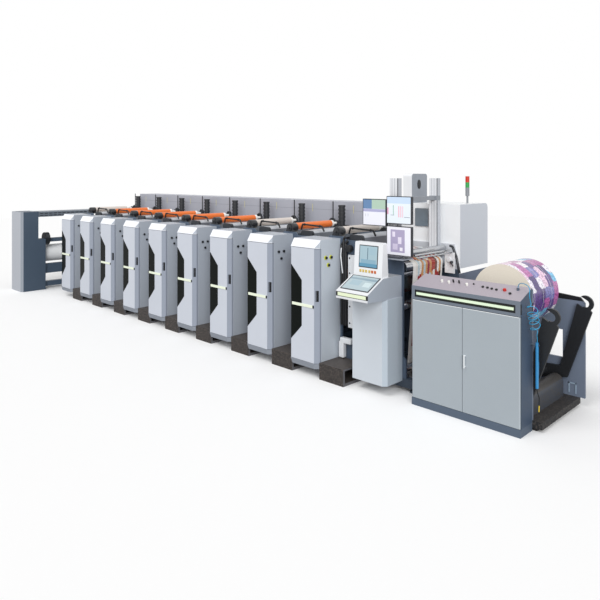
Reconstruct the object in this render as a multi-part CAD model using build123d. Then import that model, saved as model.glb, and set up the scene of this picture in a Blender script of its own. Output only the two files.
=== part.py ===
from build123d import *
import os
from math import asin, atan2, cos, degrees, hypot, radians, sin, tan

# Flexographic printing press with nine print units in line, an unwinder at the left end,
# and a delivery section and a rewinder at the right end.
# X runs along the line towards the rewinder, Y from the operator to the drive side, Z up.
# Working coordinates start at the left front edge of the ninth housing, on the floor.
# Every piece is moved to the centre of the floor plan when it is written.

# Line of units
UNITS = 9
PITCH = 870.0
RUN_CLEAR = 6.0
UNIT_GAP = 8.0

# Side plates and web
OP_FACE = 430.0
PLATE = 25.0
INNER = 945.0
PLATE_TOP = 1700.0
PLATE_CORNER = 60.0
WEB_WIDTH = 640.0
WEB_SHEET = 1.5
WEB_CLEAR = 0.5

# Operator housings
HOUSE_W = 470.0
HOUSE_LOW = 120.0
HOUSE_TOP = 1715.0
SHEET = 6.0
DOOR_T = 22.0
DOOR_LOW = 187.0
DOOR_TOP = 1606.0
BEVEL_W = 56.0
BEVEL_D = 45.0
CHAMFER_BACK = 60.0
TOE_CUT_W = 35.0
TOE_CUT_H = 62.0
HEADER = 14.0
WINDOW = [(-30, 1425), (201, 1198), (201, 623), (-30, 372)]
WINDOW_DEEP = 6.0
STRIP_LOW = 870.0
STRIP_H = 35.0
STRIP_OUT = 7.0
LATCH_LOW = 953.0
LATCH_H = 137.0
LATCH_DEEP = 12.0
LEVER_END = 16.0
LEVER_FROM = 0.44
LEVER_TO = 0.66
LEVER_IN = 2.0
PIN_R = 4.0
PIN_FIT = 0.05
PIN_IN = 14.0
BUTTON_R = 17.0
BUTTON_OUT = 24.0
BUTTONS = [(150, 1490), (245, 1490), (198, 1395)]

# Steps between the housings
STEP_FRONT = 30.0
STEP_H = 204.0
STEP_GAP = 5.0
STEP_SHEET = 6.0
STEP_RIM = 30.0

# Print unit insides: x in the unit, z, radius
ROLLER_GAP = 20.0
JOURNAL_R = 20.0
ANILOX = (575.0, 930.0, 62.0)
PLATE_CYLINDER = (690.0, 1075.0, 78.0)
IMPRESSION = (610.0, 1262.0, 98.0)
IDLER = (250.0, 1560.0, 29.5)
TRAY_W = 115.0
TRAY_FLOOR_W = 70.0
TRAY_LOW = 820.0
TRAY_H = 60.0
TRAY_SHEET = 6.0
TIE_R = 24.0
TIES = [(70, 420), (800, 300)]
CUT = (500.0, 830.0, 380.0, 1480.0)
CUT_R = 50.0

# Sleeves on their pedestals, and dryer hoods
SLEEVE = (405.0, 1806.0, 50.0)
SLEEVE_FRONT = 55.0
SLEEVE_BACK = 90.0
PEDESTAL_W = 80.0
PEDESTAL_R = 42.0
SADDLE_W = 150.0
SADDLE_H = 40.0
HOOD_LEFT = 600.0
HOOD_W = 215.0
HOOD_LOW = 1640.0
HOOD_TOP = 1770.0
HOOD_R = 45.0

# Drive side
DRIVE_TOP = 1700.0
DRIVE_EDGE = 18.0
WALL_FRONT = 1720.0
WALL_DEEP = 420.0
WALL_TOP = 2115.0
WALL_FROM = 220.0
WALL_END_W = 640.0
WALL_SHORT = 500.0
PLINTH_H = 100.0
PLINTH_IN = 12.0
FAN_X = 350.0
FAN_Y = 1600.0
FAN_R = 56.0
FAN_FOOT = 80.0
FAN_FOOT_H = 60.0
FAN_TOP = 2068.0
FAN_RINGS = 5
RING_H = 26.0
MAST_X = 235.0
MAST_Y = 1660.0
MAST_R = 9.0
MAST_TOP = 2118.0
MAST_FOOT_H = 60.0
WHEEL_R = 52.0
WHEEL_BORE = 30.0
WHEEL_W = 24.0
WHEEL_SINK = 5.0

# Base
RAIL_W = 90.0
RAIL_LOW = 45.0
RAIL_TOP = 150.0
FOOT_R = 45.0
FOOT_T = 18.0
STEM_R = 16.0

# Unwinder, placed from the first housing
UNW_GAP = 915.0
UNW_W = 560.0
UNW_FRONT = -490.0
UNW_DEEP = 365.0
UNW_H = 1735.0
UNW_BEVEL = 45.0
UNW_SILL = 60.0
WING_W = 85.0
WING_DEEP = 158.0
WING_H = 1120.0
CROSS_W = 100.0
CROSSES = [(60, 170), (350, 560), (1045, 1130)]
BEAM_LOW = 1615.0
BEAM_H = 110.0
BEAM_END = 1060.0
BEAM_IN = 20.0
SLOT_ROWS = (22.0, 66.0)
SLOT_L = 80.0
SLOT_H = 18.0
SLOTS = 11
RAIL_END_H = 45.0
DRUM_Z = 780.0
DRUM_R = 190.0
MOTOR_R = 140.0
MOTOR_L = 90.0
MOTOR_DROP = 10.0
ROLL_GAP = 630.0
ROLL_Z = 800.0
ROLL_R = 330.0
STAND_T = 40.0
STAND_FOOT = 150.0
STAND_HEAD = 60.0
SHOULDER = 40.0
SPINDLE_IN = 10.0

# Console and displays, placed from the end of the last unit
CON_GAP = 80.0
CON_W = 480.0
CON_FRONT = 100.0
CON_TOP = 1100.0
DESK_OUT = 305.0
DESK_LOW = 1115.0
DESK_EDGE = 1200.0
DESK_BACK = 1350.0
SCREEN_TOP = 1745.0
POST_GAP = 360.0
POST_W = 110.0
POST_D = 90.0
POST_TOP = 2485.0
BAR_LOW = 2205.0
DISPLAY_Y = 380.0
DISPLAY_T = 40.0
DISPLAYS = [(10, 362, 1912, 2235), (370, 720, 1950, 2275), (370, 720, 1580, 1925)]

# Delivery section, placed from the end of the last unit
DEL_GAP = 15.0
DEL_OP_W = 555.0
DEL_DRIVE_W = 715.0
DEL_TOP = 1645.0
DEL_TOE = 40.0
DEL_TOE_Z = (360.0, 400.0)
DEL_CUT_X = 60.0
DEL_CUT_Z = 1300.0
HOOD_BOX_GAP = -170.0
HOOD_BOX_W = 912.0
HOOD_BOX_BACK = 2140.0
HOOD_BOX_LOW = 1340.0
HOOD_BOX_TOP = 2150.0
HOOD_BOX_R = 60.0
HOOD_WINDOW = (71.0, 279.0, 1844.0, 2084.0)
HOOD_WINDOW_DEEP = 12.0
COLUMN_W = 200.0
VENT_W = 140.0
VENT_TOP = 2545.0
VENT_OUT = 130.0
VENT_FRONT = 1430.0
VENT_BACK = 1800.0
VENT_R = 40.0
LAMP_R = 26.0
LAMP_IN = 110.0
LAMP_Y = 1800.0
LAMP_FOOT = 2250.0
LAMP_TOP = 2510.0

# Rewinder, placed from the end of the last unit
REW_GAP = 870.0
REW_W = 1235.0
REW_FRONT = 170.0
REW_PLINTH = 80.0
REW_DOOR_TOP = 1160.0
REW_FASCIA_TOP = 1310.0
REW_TOP = 1408.0
REW_DOOR_T = 20.0
REW_GAP_SIDE = 4.0
REW_WALL = 20.0
HANDLE_IN = 34.0
HANDLE_LOW = 548.0
HANDLE_TOP = 682.0
HANDLE_OUT = 26.0
HANDLE_R = 6.0
LIGHT_LOW = 1208.0
LIGHT_H = 42.0
LIGHT_LEFT = 60.0
LIGHT_RIGHT = 70.0
LIGHT_RIM = 20.0
LIGHT_RIM_H = 18.0
LIGHT_DEEP = 8.0
DECK_LOW = 30.0
DECK_TOP = 100.0
DECK_OUT = 100.0
FAR_OUT = 156.0
FAR_WINDOW = (960.0, 1154.0, 500.0, 808.0)
FAR_NOSE = [(0, 1130), (-50, 1190)]
FAR_CREST = [(180, 1215), (90, 1420)]
FAR_PEAK = (400.0, 1455.0)
FAR_END_TOP = 1275.0
NEAR_TOP = (1390.0, 1400.0)
REEL_IN = 835.0
REEL_Z = 1245.0
REEL_R = 335.0
CORE_R = 40.0
CORE_FIT = 0.3
JOURNAL_FIT = 0.05
REEL_JOURNAL_R = 30.0
PIVOT_IN = 957.0
PIVOT_Z = 330.0
ARM_PIVOT_R = 25.0
ARM_HUB_R = 74.0
CROSS_SHAFT_R = 45.0
ARM_T = 28.0
ARM_ANGLE = 61.0
ARM_GAP = 12.0
HOOK_R = 85.0
ARM_HEEL = (261.0, -30.0)
ARM_NECK = (70.0, -90.0)
ARM_LIP = (-78.0, 15.0)
ARM_THROAT = (186.0, 85.0)
HOOK_OPEN = 12.0
NOTCH_R = 42.0
COVER_R = 85.0
COVER_OUT = 150.0
COVER_Z = 250.0
COVER_SHEET = 6.0
COVER_END = 40.0

# Controls on the rewinder's top: x from its left side, y, radius, height
CONTROLS = [(295, 313, 14, 22), (380, 312, 14, 22), (591, 314, 14, 22)]
CONTROLS += [(420, 336, 9, 30), (490, 334, 9, 30)]
CONTROLS += [(652, 346, 8, 14), (767, 321, 13, 12), (820, 318, 13, 12), (871, 310, 13, 12)]
CONTROLS += [(924, 305, 13, 12), (1007, 314, 17, 20), (1083, 272, 14, 12)]

# Coiled air hose and blow gun at the rewinder's right side: places from its top right corner
HOSE_R = 4.0
COIL_R = 50.0
GLAND_R = 14.0
GLAND_H = 24.0
HOSE_BEND = 42.0
HOSE_OUT = [(-110, 356), (62, 240)]
HOSE_RISE = 58.0
COIL_TOP = (240, 1330)
COIL_END = (400, 940)
GUN_TOP = 885.0
GUN_LOW = 440.0
GUN_Y = 400.0
GUN_T = 24.0
GUN_W = 30.0
TRIGGER = [(0, 700), (34, 690), (28, 560), (0, 580)]
TRIGGER_T = 10.0
NOZZLE_BEND = 20.0
NOZZLE_R = 5.0
NOZZLE = [(402, 442), (402, 410), (452, 327), (441, 199)]
PEG_R = 6.0
PEG_CAP_R = 8.7
PEG_DROP = 25.0

line_end = PITCH
drive_face = OP_FACE + PLATE + INNER
drive_back = drive_face + PLATE
in_op = OP_FACE + PLATE
web_front = in_op + (INNER - WEB_WIDTH) / 2
web_back = web_front + WEB_WIDTH
web_middle = in_op + INNER / 2
unit_lefts = [(i - UNITS) * PITCH for i in range(1, UNITS + 1)]
line_start = unit_lefts[0]
bevel_len = hypot(BEVEL_W, BEVEL_D)
bevel_cos = BEVEL_W / bevel_len
bevel_sin = BEVEL_D / bevel_len
bevel_x = HOUSE_W - BEVEL_W
unw_right = line_start - UNW_GAP
unw_left = unw_right - UNW_W
unw_inner = UNW_FRONT + UNW_DEEP
unw_far = 2 * web_middle - unw_inner
wall_left = line_start + WALL_FROM
con_left = line_end + CON_GAP
con_right = con_left + CON_W
del_left = line_end + DEL_GAP
del_op_right = del_left + DEL_OP_W
del_drive_right = del_left + DEL_DRIVE_W
box_left = line_end + HOOD_BOX_GAP
box_right = box_left + HOOD_BOX_W
rew_left = line_end + REW_GAP
rew_right = rew_left + REW_W
rew_mid = rew_left + REW_W / 2
reel_x = rew_left + REEL_IN
pivot_x = rew_left + PIVOT_IN
arm_reach = hypot(reel_x - pivot_x, REEL_Z - PIVOT_Z)
notch_x = pivot_x + arm_reach * cos(radians(ARM_ANGLE))
notch_z = PIVOT_Z + arm_reach * sin(radians(ARM_ANGLE))

# Floor plan, for the origin
X_MIN = unw_left
X_MAX = notch_x + HOOK_R
Y_MIN = UNW_FRONT
Y_MAX = unw_far + UNW_DEEP
SHIFT = Vector(-(X_MIN + X_MAX) / 2, -(Y_MIN + Y_MAX) / 2, 0)

os.makedirs("parts", exist_ok=True)


def box(x0, x1, y0, y1, z0, z1):
    """A block between two corners."""
    return Pos((x0 + x1) / 2, (y0 + y1) / 2, (z0 + z1) / 2) * Box(x1 - x0, y1 - y0, z1 - z0)


def prism_y(points, y0, y1):
    """An outline of (x, z) points, swept from y0 to y1."""
    face = Face(Wire.make_polygon([(x, y0, z) for x, z in points], close=True))
    return Part() + Solid.extrude(face, Vector(0, y1 - y0, 0))


def prism_x(points, x0, x1):
    """An outline of (y, z) points, swept from x0 to x1."""
    face = Face(Wire.make_polygon([(x0, y, z) for y, z in points], close=True))
    return Part() + Solid.extrude(face, Vector(x1 - x0, 0, 0))


def prism_z(points, z0, z1):
    """An outline of (x, y) points, swept from z0 to z1."""
    face = Face(Wire.make_polygon([(x, y, z0) for x, y in points], close=True))
    return Part() + Solid.extrude(face, Vector(0, 0, z1 - z0))


def rod_y(x, z, radius, y0, y1):
    """A round bar along Y."""
    return Pos(x, (y0 + y1) / 2, z) * Rot(90, 0, 0) * Cylinder(radius, y1 - y0)


def rod_x(y, z, radius, x0, x1):
    """A round bar along X."""
    return Pos((x0 + x1) / 2, y, z) * Rot(0, 90, 0) * Cylinder(radius, x1 - x0)


def rod_z(x, y, radius, z0, z1):
    """A round bar along Z."""
    return Pos(x, y, (z0 + z1) / 2) * Cylinder(radius, z1 - z0)


def save(name, *shapes):
    """Write the solids of one node, moved to the floor plan's centre."""
    solids = [solid.moved(Location(SHIFT)) for shape in shapes for solid in shape.solids()]
    export_step(Compound(children=solids) if len(solids) > 1 else solids[0], f"parts/{name}.step")


def bevel_offset(depth):
    """Where a line at a depth behind the bevel meets that same depth and the right side."""
    at_front = bevel_x + (depth - depth / bevel_cos) * BEVEL_W / BEVEL_D
    at_side = BEVEL_D + depth / bevel_cos
    return at_front, at_side


def on_bevel(share, depth):
    """A point on the bevel, at a share of its width and a depth behind it."""
    x = bevel_x + BEVEL_W * share - bevel_sin * depth
    return x, BEVEL_D * share + bevel_cos * depth


# Housings of sheet steel on the operator side, open at the front behind their doors
def housing(left):
    top_front = DOOR_TOP + RUN_CLEAR
    low_front = DOOR_LOW - RUN_CLEAR + 1
    seat = DOOR_T + RUN_CLEAR
    profile = [(0, HOUSE_LOW), (OP_FACE, HOUSE_LOW), (OP_FACE, HOUSE_TOP)]
    profile += [(CHAMFER_BACK, HOUSE_TOP), (0, top_front), (seat, top_front)]
    profile += [(seat, low_front), (0, low_front)]
    shell = prism_x(profile, 0, HOUSE_W)
    side_cut = [(bevel_x, 0), (bevel_x, -1), (HOUSE_W + 1, -1), (HOUSE_W + 1, BEVEL_D)]
    side_cut += [(HOUSE_W, BEVEL_D)]
    shell -= prism_z(side_cut, HOUSE_LOW - 1, HOUSE_TOP + 1)
    front_x, side_y = bevel_offset(seat)
    seat_cut = [(front_x, seat), (front_x, 0), (HOUSE_W + 1, 0), (HOUSE_W + 1, side_y), (HOUSE_W, side_y)]
    shell -= prism_z(seat_cut, low_front, top_front)
    slope = CHAMFER_BACK / (HOUSE_TOP - top_front)
    inner_top = HOUSE_TOP - SHEET
    header = DOOR_TOP + HEADER
    hollow = [(-1, DOOR_LOW + 4), (OP_FACE - SHEET, DOOR_LOW + 4)]
    hollow += [(OP_FACE - SHEET, inner_top), (CHAMFER_BACK + SHEET, inner_top)]
    hollow += [(2 * SHEET + slope * (header - top_front), header), (2 * SHEET + 1, DOOR_TOP)]
    hollow += [(-1, DOOR_TOP)]
    room = prism_x(hollow, SHEET, HOUSE_W - SHEET)
    corner_x, corner_y = bevel_offset(SHEET)
    corner = [(corner_x, SHEET), (corner_x, -1), (HOUSE_W, -1), (HOUSE_W, corner_y)]
    shell -= room - prism_z(corner, DOOR_TOP, HOUSE_TOP)
    toe = [(-1, HOUSE_LOW - 1), (TOE_CUT_W, HOUSE_LOW - 1), (-1, HOUSE_LOW + TOE_CUT_H)]
    shell -= prism_y(toe, -1, OP_FACE - 6 * SHEET)
    for low, high in ((low_front, DOOR_LOW + PIN_IN - 2), (DOOR_TOP - PIN_IN + 2, top_front)):
        shell += rod_z(DOOR_T / 2 + 2, DOOR_T / 2, PIN_R, low - 0.5, high + 0.5)
    return Pos(left, 0, 0) * shell


# Doors with a rolled hinge edge, a bevelled handle edge and a sunk window
def housing_door(left):
    roll = DOOR_T / 2
    front_x, side_y = bevel_offset(DOOR_T)
    outline = [(roll + 2, 0), (bevel_x, 0), (HOUSE_W, BEVEL_D), (HOUSE_W, side_y)]
    outline += [(front_x, DOOR_T), (roll + 2, DOOR_T)]
    door = prism_z(outline, DOOR_LOW, DOOR_TOP)
    door += rod_z(roll + 2, roll, roll, DOOR_LOW, DOOR_TOP)
    door -= prism_y(WINDOW, -1, WINDOW_DEEP)
    strip_left = roll + 2
    door += box(strip_left, bevel_x, -STRIP_OUT, WINDOW_DEEP + 1, STRIP_LOW, STRIP_LOW + STRIP_H)
    latch = [on_bevel(0.3, -1), on_bevel(0.8, -1), on_bevel(0.8, LATCH_DEEP), on_bevel(0.3, LATCH_DEEP)]
    door -= prism_z(latch, LATCH_LOW, LATCH_LOW + LATCH_H)
    lever = [on_bevel(LEVER_FROM, LEVER_IN), on_bevel(LEVER_TO, LEVER_IN)]
    lever += [on_bevel(LEVER_TO, LATCH_DEEP + 1), on_bevel(LEVER_FROM, LATCH_DEEP + 1)]
    door += prism_z(lever, LATCH_LOW + LEVER_END, LATCH_LOW + LATCH_H - LEVER_END)
    for low, high in ((DOOR_LOW - 1, DOOR_LOW + PIN_IN), (DOOR_TOP - PIN_IN, DOOR_TOP + 1)):
        door -= rod_z(roll + 2, roll, PIN_R + PIN_FIT, low, high)
    return Pos(left, 0, 0) * door


save("operator_housings", *[housing(x) for x in unit_lefts])
for number, x in enumerate(unit_lefts, 1):
    save(f"housing_door_{number}", housing_door(x))


# Stop buttons in threes on the right side of each housing
def stop_button(x, y, z):
    stem = rod_x(y, z, BUTTON_R * 0.62, x, x + BUTTON_OUT / 2)
    return stem + rod_x(y, z, BUTTON_R, x + BUTTON_OUT / 2, x + BUTTON_OUT)


housing_buttons = [stop_button(x + HOUSE_W, y, z) for x in unit_lefts for y, z in BUTTONS]


# Bent-plate steps in the gaps between the housings, open at their right ends
def step(left):
    x0 = left + HOUSE_W + STEP_GAP
    x1 = left + PITCH - STEP_GAP
    solid = box(x0, x1, STEP_FRONT, OP_FACE, 0, STEP_H)
    floor = STEP_SHEET + STEP_RIM
    inside = box(x0 + STEP_SHEET, x1 + 1, STEP_FRONT + STEP_RIM, OP_FACE - STEP_SHEET, floor, STEP_H - 22)
    return solid - inside


save("steps", *[step(x) for x in unit_lefts])


# Side plates of the print units, with saddles for the sleeves
def side_plate(left, y0, window):
    x0 = left + UNIT_GAP / 2
    x1 = left + PITCH - UNIT_GAP / 2
    middle = left + SLEEVE[0]
    saddle = SADDLE_W - SADDLE_H
    outline = [(x0, RAIL_TOP), (x1, RAIL_TOP), (x1, PLATE_TOP - PLATE_CORNER), (x1 - PLATE_CORNER, PLATE_TOP)]
    outline += [(middle + SADDLE_W, PLATE_TOP), (middle + saddle, PLATE_TOP + SADDLE_H)]
    outline += [(middle - saddle, PLATE_TOP + SADDLE_H), (middle - SADDLE_W, PLATE_TOP), (x0, PLATE_TOP)]
    plate = prism_y(outline, y0, y0 + PLATE)
    if window:
        cut = box(left + CUT[0], left + CUT[1], y0 - 1, y0 + PLATE + 1, CUT[2], CUT[3])
        plate -= fillet(cut.edges().filter_by(Axis.Y), CUT_R)
    return plate


save("operator_side_plates", *[side_plate(x, OP_FACE, True) for x in unit_lefts])
save("drive_side_plates", *[side_plate(x, drive_face, False) for x in unit_lefts])


# Rollers on journals between the side plates
def roller(x, z, radius):
    body = rod_y(x, z, radius, in_op + ROLLER_GAP, drive_face - ROLLER_GAP)
    return body + rod_y(x, z, min(JOURNAL_R, radius * 0.6), in_op, drive_face)


def in_units(place):
    return [roller(x + place[0], place[1], place[2]) for x in unit_lefts]


save("anilox_rollers", *in_units(ANILOX))
save("impression_rollers", *in_units(IMPRESSION))
save("plate_cylinders", *in_units(PLATE_CYLINDER))


# Ink trays below the anilox rollers
def ink_tray(left):
    x = left + ANILOX[0]
    top = TRAY_LOW + TRAY_H
    wall = TRAY_SHEET
    outer = [(x - TRAY_W, top), (x - TRAY_FLOOR_W, TRAY_LOW), (x + TRAY_FLOOR_W, TRAY_LOW), (x + TRAY_W, top)]
    inner = [(x - TRAY_W + wall, top + 1), (x - TRAY_FLOOR_W + wall / 2, TRAY_LOW + wall)]
    inner += [(x + TRAY_FLOOR_W - wall / 2, TRAY_LOW + wall), (x + TRAY_W - wall, top + 1)]
    return prism_y(outer, in_op, drive_face) - prism_y(inner, in_op + wall, drive_face - wall)


save("ink_trays", *[ink_tray(x) for x in unit_lefts])


# Sleeves that lie above the units on pedestals
def sleeve(left):
    x = left + SLEEVE[0]
    body = rod_y(x, SLEEVE[1], SLEEVE[2], in_op + SLEEVE_FRONT, drive_face - SLEEVE_BACK)
    return body + rod_y(x, SLEEVE[1], JOURNAL_R, OP_FACE + UNIT_GAP, drive_back - UNIT_GAP)


def pedestal(left, y0):
    x = left + SLEEVE[0]
    z = SLEEVE[1]
    low = PLATE_TOP + SADDLE_H
    outline = [(x - PEDESTAL_W, low), (x + PEDESTAL_W, low), (x + PEDESTAL_R, z), (x - PEDESTAL_R, z)]
    body = prism_y(outline, y0, y0 + PLATE) + rod_y(x, z, PEDESTAL_R, y0, y0 + PLATE)
    return body - rod_y(x, z, JOURNAL_R, y0 - 1, y0 + PLATE + 1)


save("print_sleeves", *[sleeve(x) for x in unit_lefts])
save("sleeve_pedestals", *[pedestal(x, y) for x in unit_lefts for y in (OP_FACE, drive_face)])


# Dryer hoods across the units
def dryer_hood(left):
    x0 = left + HOOD_LEFT
    hood = box(x0, x0 + HOOD_W, in_op, drive_face, HOOD_LOW, HOOD_TOP)
    return fillet(hood.edges().filter_by(Axis.Y).group_by(Axis.Z)[-1], HOOD_R)


save("dryer_hoods", *[dryer_hood(x) for x in unit_lefts])

# Closed drive housings behind the drive-side plates
drives = []
for x in unit_lefts:
    right = min(x + PITCH, box_left) - UNIT_GAP
    body = box(x + UNIT_GAP, right, drive_back, WALL_FRONT, RAIL_TOP, DRIVE_TOP)
    drives.append(chamfer(body.edges().filter_by(Axis.X).group_by(Axis.Z)[-1], DRIVE_EDGE))
save("drive_housings", *drives)

# Row of electrical cabinets along the drive side, up to the hood box
cabinet_edges = [wall_left, wall_left + WALL_END_W, wall_left + WALL_END_W + WALL_SHORT]
while cabinet_edges[-1] + PITCH < box_left:
    cabinet_edges.append(cabinet_edges[-1] + PITCH)
cabinets = []
wall_back = WALL_FRONT + WALL_DEEP
for left, right in zip(cabinet_edges, cabinet_edges[1:]):
    body = box(left + 2, right - 2, WALL_FRONT, wall_back, PLINTH_H, WALL_TOP)
    x0 = left + PLINTH_IN
    body += box(x0, right - PLINTH_IN, WALL_FRONT + PLINTH_IN, wall_back - PLINTH_IN, 0, PLINTH_H)
    cabinets.append(body)
save("drive_cabinets", *cabinets)


# Ribbed blower motors on top of the drive housings, each beside a thin mast
def blower(left):
    x = left + FAN_X
    foot_top = DRIVE_TOP + FAN_FOOT_H
    body = box(x - FAN_FOOT, x + FAN_FOOT, FAN_Y - FAN_FOOT, FAN_Y + FAN_FOOT, DRIVE_TOP, foot_top)
    body += rod_z(x, FAN_Y, FAN_R - 8, foot_top - 1, FAN_TOP)
    spacing = (FAN_TOP - foot_top - RING_H) / FAN_RINGS
    for k in range(1, FAN_RINGS + 1):
        body += rod_z(x, FAN_Y, FAN_R, foot_top + k * spacing, foot_top + k * spacing + RING_H)
    return body


def mast(left):
    x = left + FAN_X - MAST_X
    half = 3 * MAST_R
    foot_top = DRIVE_TOP + MAST_FOOT_H
    body = box(x - half, x + half, MAST_Y - half, MAST_Y + half, DRIVE_TOP, foot_top)
    body += rod_z(x, MAST_Y, MAST_R, foot_top - 1, MAST_TOP)
    wheel_z = foot_top + WHEEL_R - WHEEL_SINK
    wheel_y = MAST_Y - MAST_R - WHEEL_W
    body += box(x - MAST_R, x + MAST_R, wheel_y, MAST_Y, DRIVE_TOP, foot_top)
    body += rod_y(x, wheel_z, WHEEL_R, wheel_y, MAST_Y)
    return body - rod_y(x, wheel_z, WHEEL_BORE, wheel_y - 1, wheel_y + WHEEL_W)


save("blower_motors", *[blower(x) for x in unit_lefts], *[mast(x) for x in unit_lefts])

# Base rails from the unwinder to the rewinder, cross beams between them, and levelling feet
op_rail = OP_FACE + 5
drive_rail = drive_face - RAIL_W + 20
rail_left = unw_right - UNW_SILL
rails = [box(rail_left, rew_left, y, y + RAIL_W, RAIL_LOW, RAIL_TOP) for y in (op_rail, drive_rail)]
cross_at = unit_lefts + [del_left, del_drive_right - RAIL_W]
beams = [box(x, x + RAIL_W, op_rail + RAIL_W, drive_rail, RAIL_LOW + 10, RAIL_TOP) for x in cross_at]
feet = []
for x in cross_at:
    for y in (op_rail + RAIL_W / 2, drive_rail + RAIL_W / 2):
        foot = rod_z(x + RAIL_W / 2, y, FOOT_R, 0, FOOT_T)
        feet.append(foot + rod_z(x + RAIL_W / 2, y, STEM_R, FOOT_T - 1, RAIL_LOW))
for x in unit_lefts:
    feet.append(box(x + 20, x + 70, 1560, 1660, 0, RAIL_TOP))
save("base_frame", *rails)
save("base_cross_beams", *beams)
save("levelling_feet", *feet)

# Unwinder: two towers, the lower wing and the cross beams between them
profile = [(unw_left, UNW_FRONT), (unw_right - UNW_BEVEL, UNW_FRONT), (unw_right, UNW_FRONT + UNW_BEVEL)]
profile += [(unw_right, unw_inner), (unw_left, unw_inner)]
towers = prism_z(profile, 0, UNW_H)
towers += box(unw_left, unw_right, unw_far, unw_far + UNW_DEEP, 0, UNW_H)
wing_back = unw_inner + WING_DEEP
towers += box(unw_right - WING_W, unw_right, unw_inner - 1, wing_back, 0, WING_H)
cross_x = unw_right - UNW_SILL - CROSS_W
for low, high in CROSSES:
    towers += box(cross_x, cross_x + CROSS_W, unw_inner - 1, unw_far + 1, low, high)
motor_z = CROSSES[2][1] - MOTOR_DROP
motor_front = wing_back + RUN_CLEAR
towers += rod_y(cross_x + CROSS_W / 2, motor_z, MOTOR_R, motor_front, motor_front + MOTOR_L)
save("unwinder_frame", towers)

# Slotted top beam, which runs on as a thinner rail to the far tower
beam_top = BEAM_LOW + BEAM_H
beam = box(unw_left + UNW_SILL, unw_right - BEAM_IN, unw_inner, BEAM_END, BEAM_LOW, beam_top)
slot_pitch = (BEAM_END - unw_inner - SLOT_L) / SLOTS
for k in range(SLOTS):
    y = unw_inner + SLOT_L / 2 + k * slot_pitch
    for z in SLOT_ROWS:
        beam -= box(rail_left, unw_right + 1, y, y + SLOT_L, BEAM_LOW + z, BEAM_LOW + z + SLOT_H)
beam += box(unw_left + UNW_SILL, unw_right - BEAM_IN, BEAM_END - 1, unw_far, beam_top - RAIL_END_H, beam_top)
save("unwinder_beam", beam)

# White guide drum across the unwinder
drum_x = unw_left + UNW_W / 2
drum = rod_y(drum_x, DRUM_Z, DRUM_R, unw_inner + ROLLER_GAP, unw_far - ROLLER_GAP)
drum += rod_y(drum_x, DRUM_Z, JOURNAL_R, unw_inner, unw_far)
save("unwinder_rollers", drum)

# Paper roll on its shaft, between two stands on the base rails
roll_x = line_start - ROLL_GAP
stands = []
for y in (op_rail + STAND_T, drive_rail + RAIL_W - 2 * STAND_T):
    outline = [(roll_x - STAND_FOOT, RAIL_TOP), (roll_x + STAND_FOOT, RAIL_TOP)]
    outline += [(roll_x + STAND_HEAD, ROLL_Z), (roll_x - STAND_HEAD, ROLL_Z)]
    stand = prism_y(outline, y, y + STAND_T) + rod_y(roll_x, ROLL_Z, STAND_HEAD, y, y + STAND_T)
    stands.append(stand - rod_y(roll_x, ROLL_Z, REEL_JOURNAL_R, y - 1, y + STAND_T + 1))
save("unwind_chucks", *stands)
core = rod_y(roll_x, ROLL_Z, CORE_R + CORE_FIT, web_front - 1, web_back + 1)
save("unwind_roll", rod_y(roll_x, ROLL_Z, ROLL_R, web_front, web_back) - core)
stand_face = op_rail + 2 * STAND_T
shoulder = min(SHOULDER, (web_front - stand_face) / 2)
spindle = rod_y(roll_x, ROLL_Z, CORE_R, web_front - shoulder, web_back + shoulder)
spindle_front = op_rail + STAND_T - SPINDLE_IN
spindle_back = drive_rail + RAIL_W - STAND_T + SPINDLE_IN
spindle += rod_y(roll_x, ROLL_Z, REEL_JOURNAL_R - JOURNAL_FIT, spindle_front, spindle_back)
save("unwind_shaft", spindle)


# Web: a polyline in (x, z) with round corners, as thick as the paper and as wide as the rolls
def web_sheet(points, radii):
    path = FilletPolyline(*[(x, z) for x, z in points], radius=radii) if radii else Line(*points)
    sheet = extrude(trace(path, WEB_SHEET), WEB_WIDTH)
    return Pos(0, web_back, 0) * Rot(90, 0, 0) * sheet


def corner_centre(before, corner, after, radius):
    """The centre of the arc that rounds a corner of the web."""
    back = hypot(before[0] - corner[0], before[1] - corner[1])
    on = hypot(after[0] - corner[0], after[1] - corner[1])
    u = ((before[0] - corner[0]) / back, (before[1] - corner[1]) / back)
    v = ((after[0] - corner[0]) / on, (after[1] - corner[1]) / on)
    middle = hypot(u[0] + v[0], u[1] + v[1])
    half = asin(hypot(u[0] - v[0], u[1] - v[1]) / 2)
    reach = radius / sin(half) / middle
    return corner[0] + (u[0] + v[0]) * reach, corner[1] + (u[1] + v[1]) * reach


web_lie = WEB_CLEAR + WEB_SHEET / 2
web_z = IDLER[1] + IDLER[2] + web_lie
idler_x = line_start + IDLER[0]
idler_turn_r = IDLER[2] + web_lie
roll_turn_r = ROLL_R + web_lie
far = hypot(idler_x - roll_x, IDLER[1] - ROLL_Z)
climb = atan2(IDLER[1] - ROLL_Z, idler_x - roll_x) - asin((roll_turn_r - idler_turn_r) / far)
lead_start = (roll_x - roll_turn_r * sin(climb), ROLL_Z + roll_turn_r * cos(climb))
lead_corner = (idler_x - idler_turn_r * tan(climb / 2), web_z)
save("web_top_run", web_sheet([lead_start, lead_corner, (del_left, web_z)], [idler_turn_r]))

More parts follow.
